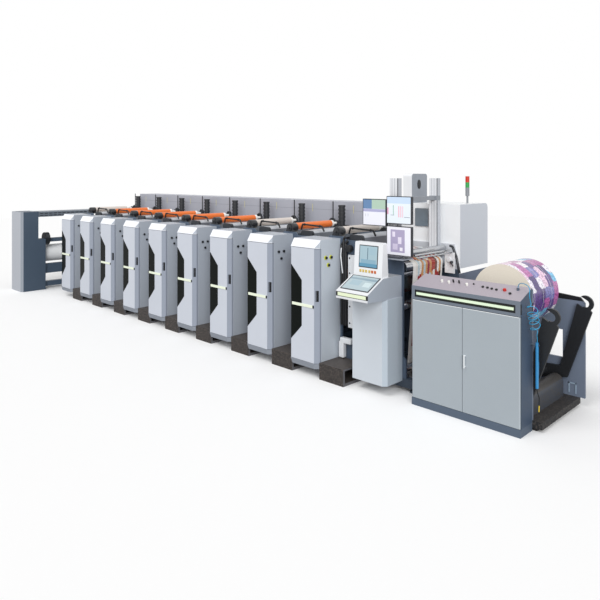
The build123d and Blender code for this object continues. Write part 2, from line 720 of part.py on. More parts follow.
# Delivery web, over two rollers, down to the floor and up to the finished reel
DELIVERY_R = 50.0
PRINT_ROLLER_R = 62.0
TURN_R = 45.0
down_x = line_end + 504
low_z = RAIL_TOP + 54
up_x = reel_x - REEL_R - web_lie
corners = [(del_left, web_z), (line_end + 370, web_z), (line_end + 598, web_z - 118.75)]
corners += [(down_x, low_z), (up_x, low_z), (up_x, REEL_Z)]
turn_radii = [DELIVERY_R, PRINT_ROLLER_R, TURN_R, TURN_R]
save("web_delivery_run", web_sheet(corners, [r + web_lie for r in turn_radii]))
delivery_rollers = []
for k, radius in enumerate(turn_radii):
    x, z = corner_centre(corners[k], corners[k + 1], corners[k + 2], radius + web_lie)
    delivery_rollers.append(roller(x, z, radius))
delivery_rollers.append(roller(line_end + 525, web_z, DELIVERY_R - 8))
delivery_rollers.append(roller(line_end + 480, 960, 60))
delivery_rollers.append(roller(line_end + 260, 1250, TURN_R))
save("idler_rollers", *in_units(IDLER), *delivery_rollers)
ties = [rod_y(x + dx, z, TIE_R, in_op, drive_face) for x in unit_lefts for dx, z in TIES]
panel = box(line_end + 380, line_end + 410, in_op, drive_face, 1100, 1290)
save("tie_bars", *ties, panel)

# Delivery side plates
toe = del_op_right + DEL_TOE
op_outline = [(del_left, RAIL_TOP), (toe, RAIL_TOP), (toe, DEL_TOE_Z[0]), (del_op_right, DEL_TOE_Z[1])]
op_outline += [(del_op_right, DEL_TOP), (del_left, DEL_TOP)]
drive_outline = [(del_left, RAIL_TOP), (del_drive_right, RAIL_TOP), (del_drive_right, DEL_CUT_Z)]
drive_outline += [(del_drive_right - DEL_CUT_X, DEL_TOP), (del_left, DEL_TOP)]
op_sheet = prism_y(op_outline, OP_FACE, in_op)
save("delivery_side_plates", op_sheet, prism_y(drive_outline, drive_face, drive_back))

# Console with its sloping desk and screen head
con_bevel = 45
outline = [(con_left, CON_FRONT), (con_right - con_bevel, CON_FRONT), (con_right, CON_FRONT + con_bevel)]
outline += [(con_right, OP_FACE), (con_left, OP_FACE)]
save("console_housing", prism_z(outline, HOUSE_LOW, CON_TOP))
desk_front = CON_FRONT - DESK_OUT
screen_y = CON_FRONT - 25
desk_outline = [(desk_front, DESK_LOW), (desk_front, DESK_EDGE), (screen_y, DESK_BACK), (OP_FACE, DESK_BACK)]
desk_outline += [(OP_FACE, CON_TOP), (CON_FRONT, CON_TOP)]
save("console_desk", prism_x(desk_outline, con_left + 10, con_right - 10))
head_outline = [(screen_y, DESK_BACK), (screen_y + 30, SCREEN_TOP), (screen_y + 100, SCREEN_TOP)]
head_outline += [(screen_y + 125, DESK_BACK)]
head = prism_x(head_outline, con_left + 40, con_right - 30)
save("console_screen", fillet(head.edges().filter_by(Axis.Y).group_by(Axis.Z)[-1], 18))

# Portal with the displays
post_x = line_end + POST_GAP
post_low = DEL_TOP - POST_D / 2
posts = box(post_x, post_x + POST_W, in_op, in_op + POST_D, post_low, POST_TOP)
posts += box(post_x, post_x + POST_W, drive_face - POST_D, drive_face, post_low, POST_TOP)
posts += box(post_x + 20, post_x + POST_W - 20, in_op + POST_D, drive_face - POST_D, BAR_LOW, BAR_LOW + 50)
display_back = DISPLAY_Y + DISPLAY_T
posts += box(line_end + 280, post_x + POST_W, display_back, in_op + 1, 1900, 1990)
save("display_portal", posts)


def display(x0, x1, z0, z1):
    case = box(line_end + x0, line_end + x1, DISPLAY_Y, display_back, z0, z1)
    return fillet(case.edges().filter_by(Axis.Y), 8)


save("displays", *[display(*place) for place in DISPLAYS])
tray = box(line_end + 420, line_end + 720, 220, 420, 1555, 1570)
tray += box(line_end + 530, line_end + 570, 419, OP_FACE, 1520, 1570)
save("keyboard_tray", tray)

# White hood box on the drive side, carried by a column and the delivery side plate
white = box(box_left, box_right, drive_back, HOOD_BOX_BACK, HOOD_BOX_LOW, HOOD_BOX_TOP)
white = fillet(white.edges().filter_by(Axis.X).group_by(Axis.Z)[-1].sort_by(Axis.Y)[-1], HOOD_BOX_R)
x0, x1, low, high = HOOD_WINDOW
white -= box(line_end + x0, line_end + x1, drive_back - 1, drive_back + HOOD_WINDOW_DEEP, low, high)
white += box(box_left, box_left + COLUMN_W, drive_back, HOOD_BOX_BACK, 0, HOOD_BOX_LOW + 1)
save("delivery_housing", white)
vent_left = line_end - VENT_OUT
vent = box(vent_left, vent_left + VENT_W, VENT_FRONT, VENT_BACK, HOOD_BOX_TOP, VENT_TOP)
save("exhaust_box", fillet(vent.edges().filter_by(Axis.X).group_by(Axis.Z)[-1], VENT_R))
lamp_x = box_right - LAMP_IN
lamp = rod_z(lamp_x, LAMP_Y, LAMP_R / 2, HOOD_BOX_TOP, LAMP_FOOT)
save("stack_light", lamp + rod_z(lamp_x, LAMP_Y, LAMP_R, LAMP_FOOT - 1, LAMP_TOP))

# Rewinder cabinet with its plinth, fascia, light recess and hinge pins
door_y = REW_FRONT + REW_DOOR_T + RUN_CLEAR
profile = [(REW_FRONT, 0), (OP_FACE, 0), (OP_FACE, REW_TOP), (REW_FRONT, REW_FASCIA_TOP)]
profile += [(REW_FRONT, REW_DOOR_TOP), (door_y, REW_DOOR_TOP), (door_y, REW_PLINTH), (REW_FRONT, REW_PLINTH)]
carcase = prism_x(profile, rew_left, rew_right)
low_in = REW_PLINTH + SHEET
high_in = REW_DOOR_TOP - SHEET
carcase -= box(rew_left + REW_WALL, rew_right - REW_WALL, REW_FRONT - 1, OP_FACE - SHEET, low_in, high_in)
bar_left = rew_left + LIGHT_LEFT
bar_right = rew_right - LIGHT_RIGHT
bar_back = REW_FRONT + LIGHT_DEEP
low_rim = LIGHT_LOW - LIGHT_RIM_H
high_rim = LIGHT_LOW + LIGHT_H + LIGHT_RIM_H
carcase -= box(bar_left - LIGHT_RIM, bar_right + LIGHT_RIM, REW_FRONT - 1, bar_back, low_rim, high_rim)
rew_roll = REW_DOOR_T / 2
left_hinge = rew_left + REW_GAP_SIDE + rew_roll
right_hinge = rew_right - REW_GAP_SIDE - rew_roll
for x in (left_hinge, right_hinge):
    for low, high in ((REW_PLINTH - 1, REW_PLINTH + PIN_IN), (REW_DOOR_TOP - PIN_IN, REW_DOOR_TOP + 1)):
        carcase += rod_z(x, REW_FRONT + rew_roll, PIN_R, low, high)
gland_x = rew_right + HOSE_OUT[0][0]
gland_y = HOSE_OUT[0][1]
slope = (REW_TOP - REW_FASCIA_TOP) / (OP_FACE - REW_FRONT)
gland_z = REW_FASCIA_TOP + slope * (gland_y - REW_FRONT)
gland_top = gland_z + GLAND_H
carcase += rod_z(gland_x, gland_y, GLAND_R, gland_z - 10, gland_top)
gun_x = rew_right + HOSE_OUT[1][0]
peg_z = GUN_TOP - PEG_DROP
carcase += rod_x(GUN_Y, peg_z, PEG_R, rew_right - 1, gun_x + GUN_T / 2 + 4)
carcase += rod_x(GUN_Y, peg_z, PEG_CAP_R, gun_x + GUN_T / 2 + 3, gun_x + GUN_T / 2 + 8)
save("rewinder_cabinet", carcase)


# Knobs, switches and buttons along the rewinder's sloping top
def control(out, y, radius, height):
    seat = Plane((rew_left + out, y, REW_FASCIA_TOP + slope * (y - REW_FRONT)), z_dir=(0, -slope, 1))
    knob = Cylinder(radius, height, align=(Align.CENTER, Align.CENTER, Align.MIN))
    return seat * (knob + Pos(0, 0, height) * Cylinder(radius * 0.72, height / 3))


save("stop_buttons", *housing_buttons, *[control(*place) for place in CONTROLS])
light_bar = box(bar_left, bar_right, REW_FRONT - 2, bar_back, LIGHT_LOW, LIGHT_LOW + LIGHT_H)
save("rewinder_light_bar", light_bar)


def rewinder_door(x0, x1, hinge_x):
    low = REW_PLINTH + 5
    high = REW_DOOR_TOP - 5
    middle_y = REW_FRONT + rew_roll
    door = box(x0, x1, REW_FRONT, REW_FRONT + REW_DOOR_T, low, high)
    door += rod_z(hinge_x, middle_y, rew_roll, low, high)
    for start, end in ((low - 1, REW_PLINTH + PIN_IN + 2), (REW_DOOR_TOP - PIN_IN - 2, high + 1)):
        door -= rod_z(hinge_x, middle_y, PIN_R + PIN_FIT, start, end)
    return door


door_gap = RUN_CLEAR / 2
save("rewinder_door_left", rewinder_door(left_hinge, rew_mid - door_gap, left_hinge))
right_door = rewinder_door(rew_mid + door_gap, right_hinge, right_hinge)
handle_x = rew_mid + HANDLE_IN
handle_y = REW_FRONT - HANDLE_OUT
right_door += rod_z(handle_x, handle_y, HANDLE_R, HANDLE_LOW, HANDLE_TOP)
for z in (HANDLE_LOW + 2 * HANDLE_R, HANDLE_TOP - 2 * HANDLE_R):
    right_door += rod_y(handle_x, z, HANDLE_R, handle_y, REW_FRONT + 1)
save("rewinder_door_right", right_door)

# Air hose: out of its gland, over the edge and down through its coil to the gun
across = Vector(gun_x - gland_x, HOSE_OUT[1][1] - gland_y, 0)
hose_plane = Plane((gland_x, gland_y, gland_top), x_dir=across, z_dir=across.cross(Vector(0, 0, 1)))
coil_drop = COIL_TOP[1] - gland_top
hose_run = [(0, 0), (0, HOSE_RISE), (across.length, HOSE_RISE), (across.length, coil_drop)]
hose_path = hose_plane * FilletPolyline(*hose_run, radius=HOSE_BEND)
hose_tube = sweep(Plane(hose_path @ 0, z_dir=hose_path % 0) * Circle(HOSE_R), path=hose_path)
coil_from = Vector(gun_x, COIL_TOP[0], COIL_TOP[1])
coil_to = Vector(gun_x, COIL_END[0], COIL_END[1])
coil_way = coil_to - coil_from
coil_plane = Plane(coil_from, z_dir=coil_way)
coil = coil_plane * Cylinder(COIL_R + HOSE_R, coil_way.length, align=(Align.CENTER, Align.CENTER, Align.MIN))
save("air_hose_coil", coil)
hose_tube -= coil
hose_end = rod_z(gun_x, GUN_Y, HOSE_R, GUN_TOP, COIL_END[1] + COIL_R) - coil
save("air_hose", hose_tube.solids().sort_by(Axis.Z)[-1], hose_end.solids().sort_by(Axis.Z)[0])

# Blow gun on its peg, with a bent nozzle
gun = box(gun_x - GUN_T / 2, gun_x + GUN_T / 2, GUN_Y - GUN_W / 2, GUN_Y + GUN_W / 2, GUN_LOW, GUN_TOP)
gun = fillet(gun.edges().filter_by(Axis.Z), GUN_T / 3)
trigger = [(GUN_Y + y, z) for y, z in TRIGGER]
gun += prism_x(trigger, gun_x - TRIGGER_T / 2, gun_x + TRIGGER_T / 2)
gun -= rod_x(GUN_Y, peg_z, PEG_R + CORE_FIT, gun_x - GUN_T, gun_x + GUN_T)
nozzle_path = FilletPolyline(*[(gun_x, y, z) for y, z in NOZZLE], radius=NOZZLE_BEND)
gun += sweep(Plane(nozzle_path @ 0, z_dir=nozzle_path % 0) * Circle(NOZZLE_R), path=nozzle_path)
save("blow_gun", gun)

# Rewinder side plates, with bearings for the reel shaft and the lift arms
op_outline = [(rew_left, DECK_TOP), (rew_right, DECK_TOP), (rew_right, NEAR_TOP[0]), (rew_left, NEAR_TOP[1])]
op_plate = prism_y(op_outline, OP_FACE, in_op)
far_left = del_drive_right + RUN_CLEAR
far_right = rew_right + FAR_OUT
far_low = RAIL_TOP + 10
far_outline = [(far_left, far_low), (rew_left, far_low), (rew_left, DECK_TOP), (far_right, DECK_TOP)]
far_outline += [(far_right + x, z) for x, z in FAR_NOSE]
far_outline += [(reel_x + x, z) for x, z in FAR_CREST]
far_outline += [(rew_left + FAR_PEAK[0], FAR_PEAK[1]), (far_left, FAR_END_TOP)]
far_plate = prism_y(far_outline, drive_face, drive_back)
x0, x1, low, high = FAR_WINDOW
far_plate -= box(rew_left + x0, rew_left + x1, drive_face - 1, drive_back + 1, low, high)
for x, z, radius in ((reel_x, REEL_Z, REEL_JOURNAL_R), (pivot_x, PIVOT_Z, ARM_PIVOT_R)):
    op_plate -= rod_y(x, z, radius, OP_FACE - 1, in_op + 1)
    far_plate -= rod_y(x, z, radius, drive_face - 1, drive_back + 1)
save("rewinder_side_plates", op_plate, far_plate)

# Rewinder base with its floor plate
base_front = rew_right + DECK_OUT
deck = box(rew_left, base_front, OP_FACE, drive_back, DECK_LOW, DECK_TOP)
deck += box(rew_left + 30, base_front - 60, OP_FACE + 20, drive_back - 20, 0, DECK_LOW + 1)
save("rewinder_base", deck)

# Rounded sheet cover over the cross shaft of the lift arms
cover_front = in_op + ARM_GAP + ARM_T + COVER_END
cover_back = drive_face - ARM_GAP - ARM_T - COVER_END
cover_x = pivot_x + COVER_OUT
cover = box(cover_x - COVER_R, cover_x + COVER_R, cover_front, cover_back, DECK_TOP, COVER_Z)
cover += rod_y(cover_x, COVER_Z, COVER_R, cover_front, cover_back)
cover_in = COVER_R - COVER_SHEET
cover -= box(cover_x - cover_in, cover_x + cover_in, cover_front - 1, cover_back + 1, DECK_TOP - 1, COVER_Z)
cover -= rod_y(cover_x, COVER_Z, cover_in, cover_front - 1, cover_back + 1)
save("cross_shaft_cover", cover)

# Finished reel on its shaft
core = rod_y(reel_x, REEL_Z, CORE_R + CORE_FIT, web_front - 1, web_back + 1)
save("rewind_reel", rod_y(reel_x, REEL_Z, REEL_R, web_front, web_back) - core)
shaft = rod_y(reel_x, REEL_Z, CORE_R, in_op + 60, drive_face - 60)
shaft += rod_y(reel_x, REEL_Z, REEL_JOURNAL_R - JOURNAL_FIT, OP_FACE + 2, drive_back - 2)
save("rewind_shaft", shaft)


# Lift arms on one cross shaft, with hooks whose notch swings onto the reel shaft
def lift_arm(y0):
    y1 = y0 + ARM_T
    outline = [(pivot_x, PIVOT_Z - ARM_HUB_R), (pivot_x + ARM_HEEL[0], PIVOT_Z + ARM_HEEL[1])]
    outline += [(notch_x + ARM_NECK[0], notch_z + ARM_NECK[1]), (notch_x, notch_z)]
    outline += [(notch_x + ARM_LIP[0], notch_z + ARM_LIP[1])]
    outline += [(pivot_x + ARM_THROAT[0], PIVOT_Z + ARM_THROAT[1]), (pivot_x, PIVOT_Z + ARM_HUB_R)]
    limb = prism_y(outline, y0, y1) + rod_y(pivot_x, PIVOT_Z, ARM_HUB_R, y0, y1)
    limb += rod_y(notch_x, notch_z, HOOK_R, y0, y1)
    limb -= rod_y(notch_x, notch_z, NOTCH_R, y0 - 1, y1 + 1)
    way = Pos(notch_x, 0, notch_z) * Rot(0, -(ARM_ANGLE + 90), 0)
    return limb - way * box(0, 2 * HOOK_R, y0 - 1, y1 + 1, -NOTCH_R, NOTCH_R + HOOK_OPEN)


arms = lift_arm(in_op + ARM_GAP) + lift_arm(drive_face - ARM_GAP - ARM_T)
arms += rod_y(pivot_x, PIVOT_Z, CROSS_SHAFT_R, in_op + ARM_GAP, drive_face - ARM_GAP)
arms += rod_y(pivot_x, PIVOT_Z, ARM_PIVOT_R - JOURNAL_FIT, OP_FACE + 2, drive_back - 2)
save("lift_arms", arms)
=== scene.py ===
from math import cos, pi, radians, sin

import bpy
from mathutils import Matrix, Vector


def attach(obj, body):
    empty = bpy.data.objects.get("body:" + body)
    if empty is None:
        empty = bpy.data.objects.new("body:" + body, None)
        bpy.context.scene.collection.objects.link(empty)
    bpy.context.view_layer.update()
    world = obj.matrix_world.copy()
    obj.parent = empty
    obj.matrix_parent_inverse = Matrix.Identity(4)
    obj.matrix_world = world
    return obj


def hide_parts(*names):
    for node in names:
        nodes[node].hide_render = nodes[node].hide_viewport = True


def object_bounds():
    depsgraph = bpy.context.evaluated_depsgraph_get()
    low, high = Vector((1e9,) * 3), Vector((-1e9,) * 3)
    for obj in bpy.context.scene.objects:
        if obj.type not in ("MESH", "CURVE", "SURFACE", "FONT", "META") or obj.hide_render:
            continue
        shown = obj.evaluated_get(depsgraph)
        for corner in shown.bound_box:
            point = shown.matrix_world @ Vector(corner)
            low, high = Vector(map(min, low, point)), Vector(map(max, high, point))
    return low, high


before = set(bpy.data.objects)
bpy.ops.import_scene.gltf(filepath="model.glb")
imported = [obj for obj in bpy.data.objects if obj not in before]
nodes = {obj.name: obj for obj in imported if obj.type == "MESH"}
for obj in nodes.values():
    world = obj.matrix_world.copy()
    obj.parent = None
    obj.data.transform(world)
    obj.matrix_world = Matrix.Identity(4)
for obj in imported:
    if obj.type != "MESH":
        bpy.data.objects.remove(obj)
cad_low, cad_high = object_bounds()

# The line's own zero is the left front edge of the last housing, on the floor. X runs to
# the rewinder, Y to the drive side and Z up, all in metres.
ZERO_IN_X, ZERO_IN_Y = 8.435, 0.490
LINE_X = cad_low.x + ZERO_IN_X
LINE_Y = cad_low.y + ZERO_IN_Y


def at(x, y, z):
    """A point of the line, in the frame."""
    return Vector((LINE_X + x, LINE_Y + y, z))


# Camera at eye height in front of the rewinder's end, looking along the press, with the
# photograph's perspective: the lens and the downward shift follow its vanishing lines.
EYE = (5.503, -5.334, 2.5)
TURN = 45
SENSOR = 36
LENS = 35.7
DOWN_SHIFT = -0.205
CLIP_END = 100

camera_data = bpy.data.cameras.new("camera")
camera_data.sensor_width = SENSOR
camera_data.lens = LENS
camera_data.shift_y = DOWN_SHIFT
camera_data.clip_end = CLIP_END
camera = bpy.data.objects.new("camera", camera_data)
bpy.context.scene.collection.objects.link(camera)
camera.location = at(*EYE)
camera.rotation_euler = (radians(90), 0, radians(TURN))
bpy.context.scene.camera = camera
bpy.context.scene.view_settings.view_transform = "Standard"


# Air hose: a polyurethane curly hose of 8 mm, heat-set on a mandrel into a coil of about
# 100 mm, from the gland in the rewinder's top over its edge to the blow gun on its peg.
HOSE_D = 0.008
COIL_R = 0.05
COIL_TURNS = 5
COIL_POINTS = 14
COIL_EASE = 1.2
COIL_STRETCH = 0.65
COIL_SWELL = 2.2
COIL_FROM, COIL_SPAN = 0.03, 0.94
LEAD_IN, LEAD_OUT = -0.09, 1.045
COIL_TOP = (3.037, 0.240, 1.330)
COIL_END = (3.037, 0.400, 0.940)
HOSE_OUT = [(2.865, 0.356, 1.404), (2.865, 0.356, 1.462), (3.037, 0.240, 1.462)]
GUN_TOP = (3.037, 0.400, 0.885)


def linear(hex_code):
    """An sRGB hex colour as linear RGBA."""
    parts = [int(hex_code[i:i + 2], 16) / 255 for i in (1, 3, 5)]
    return [p / 12.92 if p <= 0.04045 else ((p + 0.055) / 1.055) ** 2.4 for p in parts] + [1]


def add(tree, kind, links=(), **settings):
    """One shader node with its settings, and its inputs linked from other sockets. A setting
    named in_3 is the value of input 3."""
    made = tree.nodes.new(kind)
    for key, value in settings.items():
        if key.startswith("in_"):
            made.inputs[int(key[3:])].default_value = value
        else:
            setattr(made, key, value)
    for name, socket in dict(links).items():
        tree.links.new(socket, made.inputs[name])
    return made


MM_IN_M = 1000
CLOUD_SCALE = 1.7
WORN_FROM, WORN_TO = 0.48, 0.66
GLOSS_LESS, GLOSS_MORE = 0.05, 0.07
PEEL = 0.6


def coat(name, colour, zones=(), rough=0.42, grain=1.5, depth=0.05, tone=0.05, metal=0.0,
         pitch=0.0, height_shading=None, glow=0.0, clear=0.0, speck=None, shine=0.5):
    """A coated or moulded surface. Its colour changes by zones of the line's coordinates and
    of the surface's direction, and slowly in tone. Grain and depth, in millimetres, are the
    orange peel or moulded texture. With a pitch, X starts again at each unit. A painted
    shading by height, a foot, a top and a factor, scales the colour by the factor at the foot,
    up to unchanged at the top. A speck, a colour and a size in millimetres, is worn in spots."""
    material = bpy.data.materials.new(name)
    material.use_nodes = True
    tree = material.node_tree
    shader = tree.nodes["Principled BSDF"]
    shader.inputs["Metallic"].default_value = metal
    shader.inputs["Coat Weight"].default_value = clear
    shader.inputs["Specular IOR Level"].default_value = shine
    spot = add(tree, "ShaderNodeTexCoord").outputs
    line = add(tree, "ShaderNodeMapping", {0: spot["Object"]}, in_1=(-LINE_X, -LINE_Y, 0))
    axes = add(tree, "ShaderNodeSeparateXYZ", {0: line.outputs[0]}).outputs
    faces = add(tree, "ShaderNodeSeparateXYZ", {0: spot["Normal"]}).outputs
    read = {"x": axes[0], "y": axes[1], "z": axes[2], "nx": faces[0], "ny": faces[1], "nz": faces[2]}
    if pitch:
        wrap = add(tree, "ShaderNodeMath", {0: axes[0]}, operation="WRAP", in_1=pitch, in_2=0)
        read["x"] = wrap.outputs[0]
    cloud = add(tree, "ShaderNodeTexNoise", {0: spot["Object"]}, in_2=CLOUD_SCALE, in_3=3)
    light = linear(colour)
    dark = [value * (1 - 2 * tone) for value in light[:3]] + [1]
    paint = add(tree, "ShaderNodeMix", {0: cloud.outputs[0]}, data_type="RGBA", in_6=light, in_7=dark)
    paint = paint.outputs[2]
    for tint, sides in zones:
        mask = None
        for axis, (low, high) in sides.items():
            band = add(tree, "ShaderNodeMath", {0: read[axis]}, operation="COMPARE",
                       in_1=(low + high) / 2, in_2=(high - low) / 2).outputs[0]
            if mask is None:
                mask = band
            else:
                mask = add(tree, "ShaderNodeMath", {0: mask, 1: band}, operation="MULTIPLY").outputs[0]
        paint = add(tree, "ShaderNodeMix", {0: mask, 6: paint}, data_type="RGBA",
                    in_7=linear(tint)).outputs[2]
    if speck:
        worn = add(tree, "ShaderNodeTexNoise", {0: spot["Object"]}, in_2=MM_IN_M / speck[1], in_3=4)
        spots = add(tree, "ShaderNodeMapRange", {0: worn.outputs[0]}, in_1=WORN_FROM, in_2=WORN_TO)
        paint = add(tree, "ShaderNodeMix", {0: spots.outputs[0], 6: paint}, data_type="RGBA",
                    in_7=linear(speck[0])).outputs[2]
    if height_shading:
        foot, top, keep = height_shading
        shade = add(tree, "ShaderNodeMapRange", {0: axes[2]}, in_1=foot, in_2=top, in_3=keep, in_4=1)
        paint = add(tree, "ShaderNodeMix", {6: paint, 7: shade.outputs[0]}, data_type="RGBA",
                    blend_type="MULTIPLY", in_0=1).outputs[2]
    tree.links.new(paint, shader.inputs["Base Color"])
    if glow:
        tree.links.new(paint, shader.inputs["Emission Color"])
        shader.inputs["Emission Strength"].default_value = glow
    peel = add(tree, "ShaderNodeTexNoise", {0: spot["Object"]}, in_2=MM_IN_M / grain, in_3=2)
    gloss = add(tree, "ShaderNodeMapRange", {0: cloud.outputs[0]}, in_3=rough - GLOSS_LESS,
                in_4=rough + GLOSS_MORE)
    tree.links.new(gloss.outputs[0], shader.inputs["Roughness"])
    bump = add(tree, "ShaderNodeBump", {2: peel.outputs[0]}, in_0=PEEL, in_1=depth / MM_IN_M)
    tree.links.new(bump.outputs[0], shader.inputs["Normal"])
    return material


def dress(names, material):
    """Give CAD nodes their finish."""
    for name in names.split():
        mesh = nodes[name].data
        mesh.materials.clear()
        mesh.materials.append(material)


curve = bpy.data.curves.new("air_hose_line", "CURVE")
curve.dimensions = "3D"
route = [at(*point) for point in HOSE_OUT]
top, end = at(*COIL_TOP), at(*COIL_END)
down = (end - top).normalized()
side = Vector((1, 0, 0))
front = down.cross(side)
route.append(top.lerp(end, LEAD_IN))
steps = COIL_TURNS * COIL_POINTS
for k in range(steps + 1):
    share = k / steps
    grow = min(1, share * COIL_TURNS / COIL_EASE, (1 - share) * COIL_TURNS / COIL_EASE)
    reach = COIL_R * sin(grow * pi / 2) ** COIL_SWELL
    angle = 2 * pi * COIL_TURNS * share - COIL_TURNS * COIL_STRETCH * sin(2 * pi * share)
    out = (side * cos(angle) + front * sin(angle)) * reach
    route.append(top.lerp(end, COIL_FROM + COIL_SPAN * share) + out)
route += [top.lerp(end, LEAD_OUT), at(*GUN_TOP)]
spline = curve.splines.new("NURBS")
spline.points.add(len(route) - 1)
for point, spot in zip(spline.points, route):
    point.co = (*spot, 1)
spline.order_u = 3
spline.use_endpoint_u = True
curve.bevel_depth = HOSE_D / 2
curve.bevel_resolution = 3
curve.resolution_u = 4
hose = bpy.data.objects.new("air_hose_tube", curve)
bpy.context.scene.collection.objects.link(hose)
hose_blue = coat("polyurethane_hose", "#2E97C4", rough=0.3, grain=2, depth=0.01, clear=0.2)
curve.materials.append(hose_blue)
gun_zones = [("#E3C53A", {"z": (0, 0.26)}), ("#17191C", {"z": (0.26, 0.44)})]
gun_plastic = coat("moulded_nylon_blue", "#3A8FC8", gun_zones, rough=0.35)
dress("blow_gun", gun_plastic)
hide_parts("air_hose", "air_hose_coil")
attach(hose, "press")

# Operator housings: folded sheet steel, powder coated grey, with a darker toe band. The chamfer
# at the top and a line along the front's top edge are painted highlights. The sides are painted
# shade, the last housing's open side a little lighter, and the whole is painted darker towards
# its foot, painted shade. PLUS and MINUS are the directions of a surface that faces along an
# axis or against it.
PLUS = (0.5, 1.1)
MINUS = (-1.1, -0.5)
PITCH = 0.870
UNITS = 9
DOOR_LOW = 0.187
housing_zones = [
    ("#AEB5BF", {"nx": PLUS}),
    ("#C2CAD3", {"nx": PLUS, "x": (0.465, 0.475)}),
    ("#EEF0F6", {"nz": (0.3, 0.98), "ny": (-1.1, -0.1)}),
    ("#E4E7EE", {"z": (1.607, 1.62), "ny": MINUS}),
    ("#8C929C", {"z": (0.11, DOOR_LOW), "ny": MINUS}),
]
housing_coat = coat("powder_coat_grey", "#B4BAC4", housing_zones, rough=0.38, height_shading=(0.1, 1.4, 0.86))
dress("operator_housings", housing_coat)

# Doors: lacquered sheet steel with a rolled hinge edge, which carries a painted highlight.
# Their bevelled handle edge is painted darker, painted shade. The latch in its slot is black,
# with painted shade in the slot around it. A lit strip with black ends runs across them below
# the middle.
door_zones = [
    ("#DDE1EA", {"x": (0.0, 0.006), "ny": (-1.1, 0.5)}),
    ("#9299A6", {"x": (0.4145, 0.475)}),
    ("#16181C", {"x": (0.428, 0.461), "z": (0.953, 1.090)}),
    ("#EEF5DF", {"y": (-0.1, -0.0005)}),
    ("#101214", {"y": (-0.1, -0.0005), "x": (0.0, 0.030)}),
    ("#101214", {"y": (-0.1, -0.0005), "x": (0.392, 0.42)}),
]
door_coat = coat("lacquered_steel_lilac", "#CED3DD", door_zones, rough=0.3, pitch=PITCH, shine=0.35)
for i in range(1, UNITS + 1):
    dress(f"housing_door_{i}", door_coat)

# Windows: smoked acrylic sheet, laser cut to the slanted outline and bonded into the
# door's recess. It reads as a black-green gloss, with a thin painted highlight along its
# edge.
WINDOW = {"left": 0.004, "right": 0.200, "low": 0.623, "high": 1.198, "slope_low": 1.087, "slope_high": 0.983}
WINDOW_Y = (0.0035, 0.0065)
UNCUT_Z = (0.36, 1.43)


def rounded(piece, width, segments=2):
    """Round a piece's sharp edges over."""
    bevel = piece.modifiers.new("rounding", "BEVEL")
    bevel.width = width
    bevel.segments = segments
    bevel.limit_method = "ANGLE"
    bpy.context.view_layer.objects.active = piece
    bpy.ops.object.modifier_apply(modifier=bevel.name)
    return piece


def block(name, low, high, soft=0.002):
    """A block between two corners of the line, its edges rounded over."""
    bpy.ops.object.select_all(action="DESELECT")
    low, high = at(*low), at(*high)
    bpy.ops.mesh.primitive_cube_add(size=1, location=(low + high) / 2)
    piece = bpy.context.object
    piece.name = name
    piece.scale = high - low
    bpy.ops.object.transform_apply(location=True, rotation=True, scale=True)
    return rounded(piece, soft) if soft else piece


def cut(piece, point, normal):
    """Cut a piece with a plane and drop what lies on the normal's side."""
    bpy.ops.object.select_all(action="DESELECT")
    bpy.context.view_layer.objects.active = piece
    bpy.ops.object.mode_set(mode="EDIT")
    bpy.ops.mesh.select_all(action="SELECT")
    bpy.ops.mesh.bisect(plane_co=at(*point), plane_no=normal, use_fill=True, clear_outer=True)
    bpy.ops.object.mode_set(mode="OBJECT")
    return piece


def fit(piece, material, body="press"):
    """Finish a piece and let it ride on its body."""
    if material:
        piece.data.materials.clear()
        piece.data.materials.append(material)
    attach(piece, body)
    return piece


def copied(piece, name, x=0.0, y=0.0, z=0.0):
    """A copy of a piece with its own mesh, moved along the line."""
    copy = piece.copy()
    copy.data = piece.data.copy()
    copy.name = name
    bpy.context.scene.collection.objects.link(copy)
    copy.data.transform(Matrix.Translation((x, y, z)))
    return copy


acrylic = coat("smoked_acrylic", "#0B110E", [("#39423F", {"x": (0.194, 0.21)})], rough=0.16,
               grain=30, depth=0.02, tone=0.2, pitch=PITCH, shine=0.15)
pane = block("window_9", (WINDOW["left"], WINDOW_Y[0], UNCUT_Z[0]),
             (WINDOW["right"], WINDOW_Y[1], UNCUT_Z[1]), 0)
cut(pane, (WINDOW["right"], 0, WINDOW["high"]), (WINDOW["slope_high"], 0, 1))
cut(pane, (WINDOW["right"], 0, WINDOW["low"]), (WINDOW["slope_low"], 0, -1))
rounded(pane, 0.001)
for i in range(1, UNITS):
    fit(copied(pane, f"window_{i}", (i - UNITS) * PITCH), acrylic, f"door_{i}")
fit(pane, acrylic, f"door_{UNITS}")

# Stop buttons: black mushroom heads in yellow collars, moulded and screwed through the
# housing's side. The collars are turned discs. On the rewinder three caps are white and one
# is red.
BUTTONS = [(0.150, 1.490), (0.245, 1.490), (0.198, 1.395)]
HOUSE_W = 0.470
COLLAR_R = 0.026
COLLAR_OUT = 0.006
control_zones = [("#ECEBE6", {"x": (2.018, 2.052)}), ("#ECEBE6", {"x": (2.103, 2.137)}),
                 ("#ECEBE6", {"x": (2.314, 2.348)}), ("#C02A20", {"x": (2.728, 2.766)})]
dress("stop_buttons", coat("moulded_abs_black", "#1A1B1E", control_zones, rough=0.35, grain=0.8))


def bar(name, start, end, radius, soft=0.001, sides=24):
    """A round bar between two points of the line."""
    start, end = at(*start), at(*end)
    way = end - start
    bpy.ops.object.select_all(action="DESELECT")
    bpy.ops.mesh.primitive_cylinder_add(vertices=sides, radius=radius, depth=way.length,
                                        location=(start + end) / 2,
                                        rotation=way.to_track_quat("Z", "Y").to_euler())
    piece = bpy.context.object
    piece.name = name
    bpy.ops.object.transform_apply(location=True, rotation=True, scale=True)
    if soft:
        rounded(piece, soft)
    bpy.ops.object.select_all(action="DESELECT")
    piece.select_set(True)
    bpy.ops.object.shade_smooth_by_angle(angle=radians(35))
    return piece


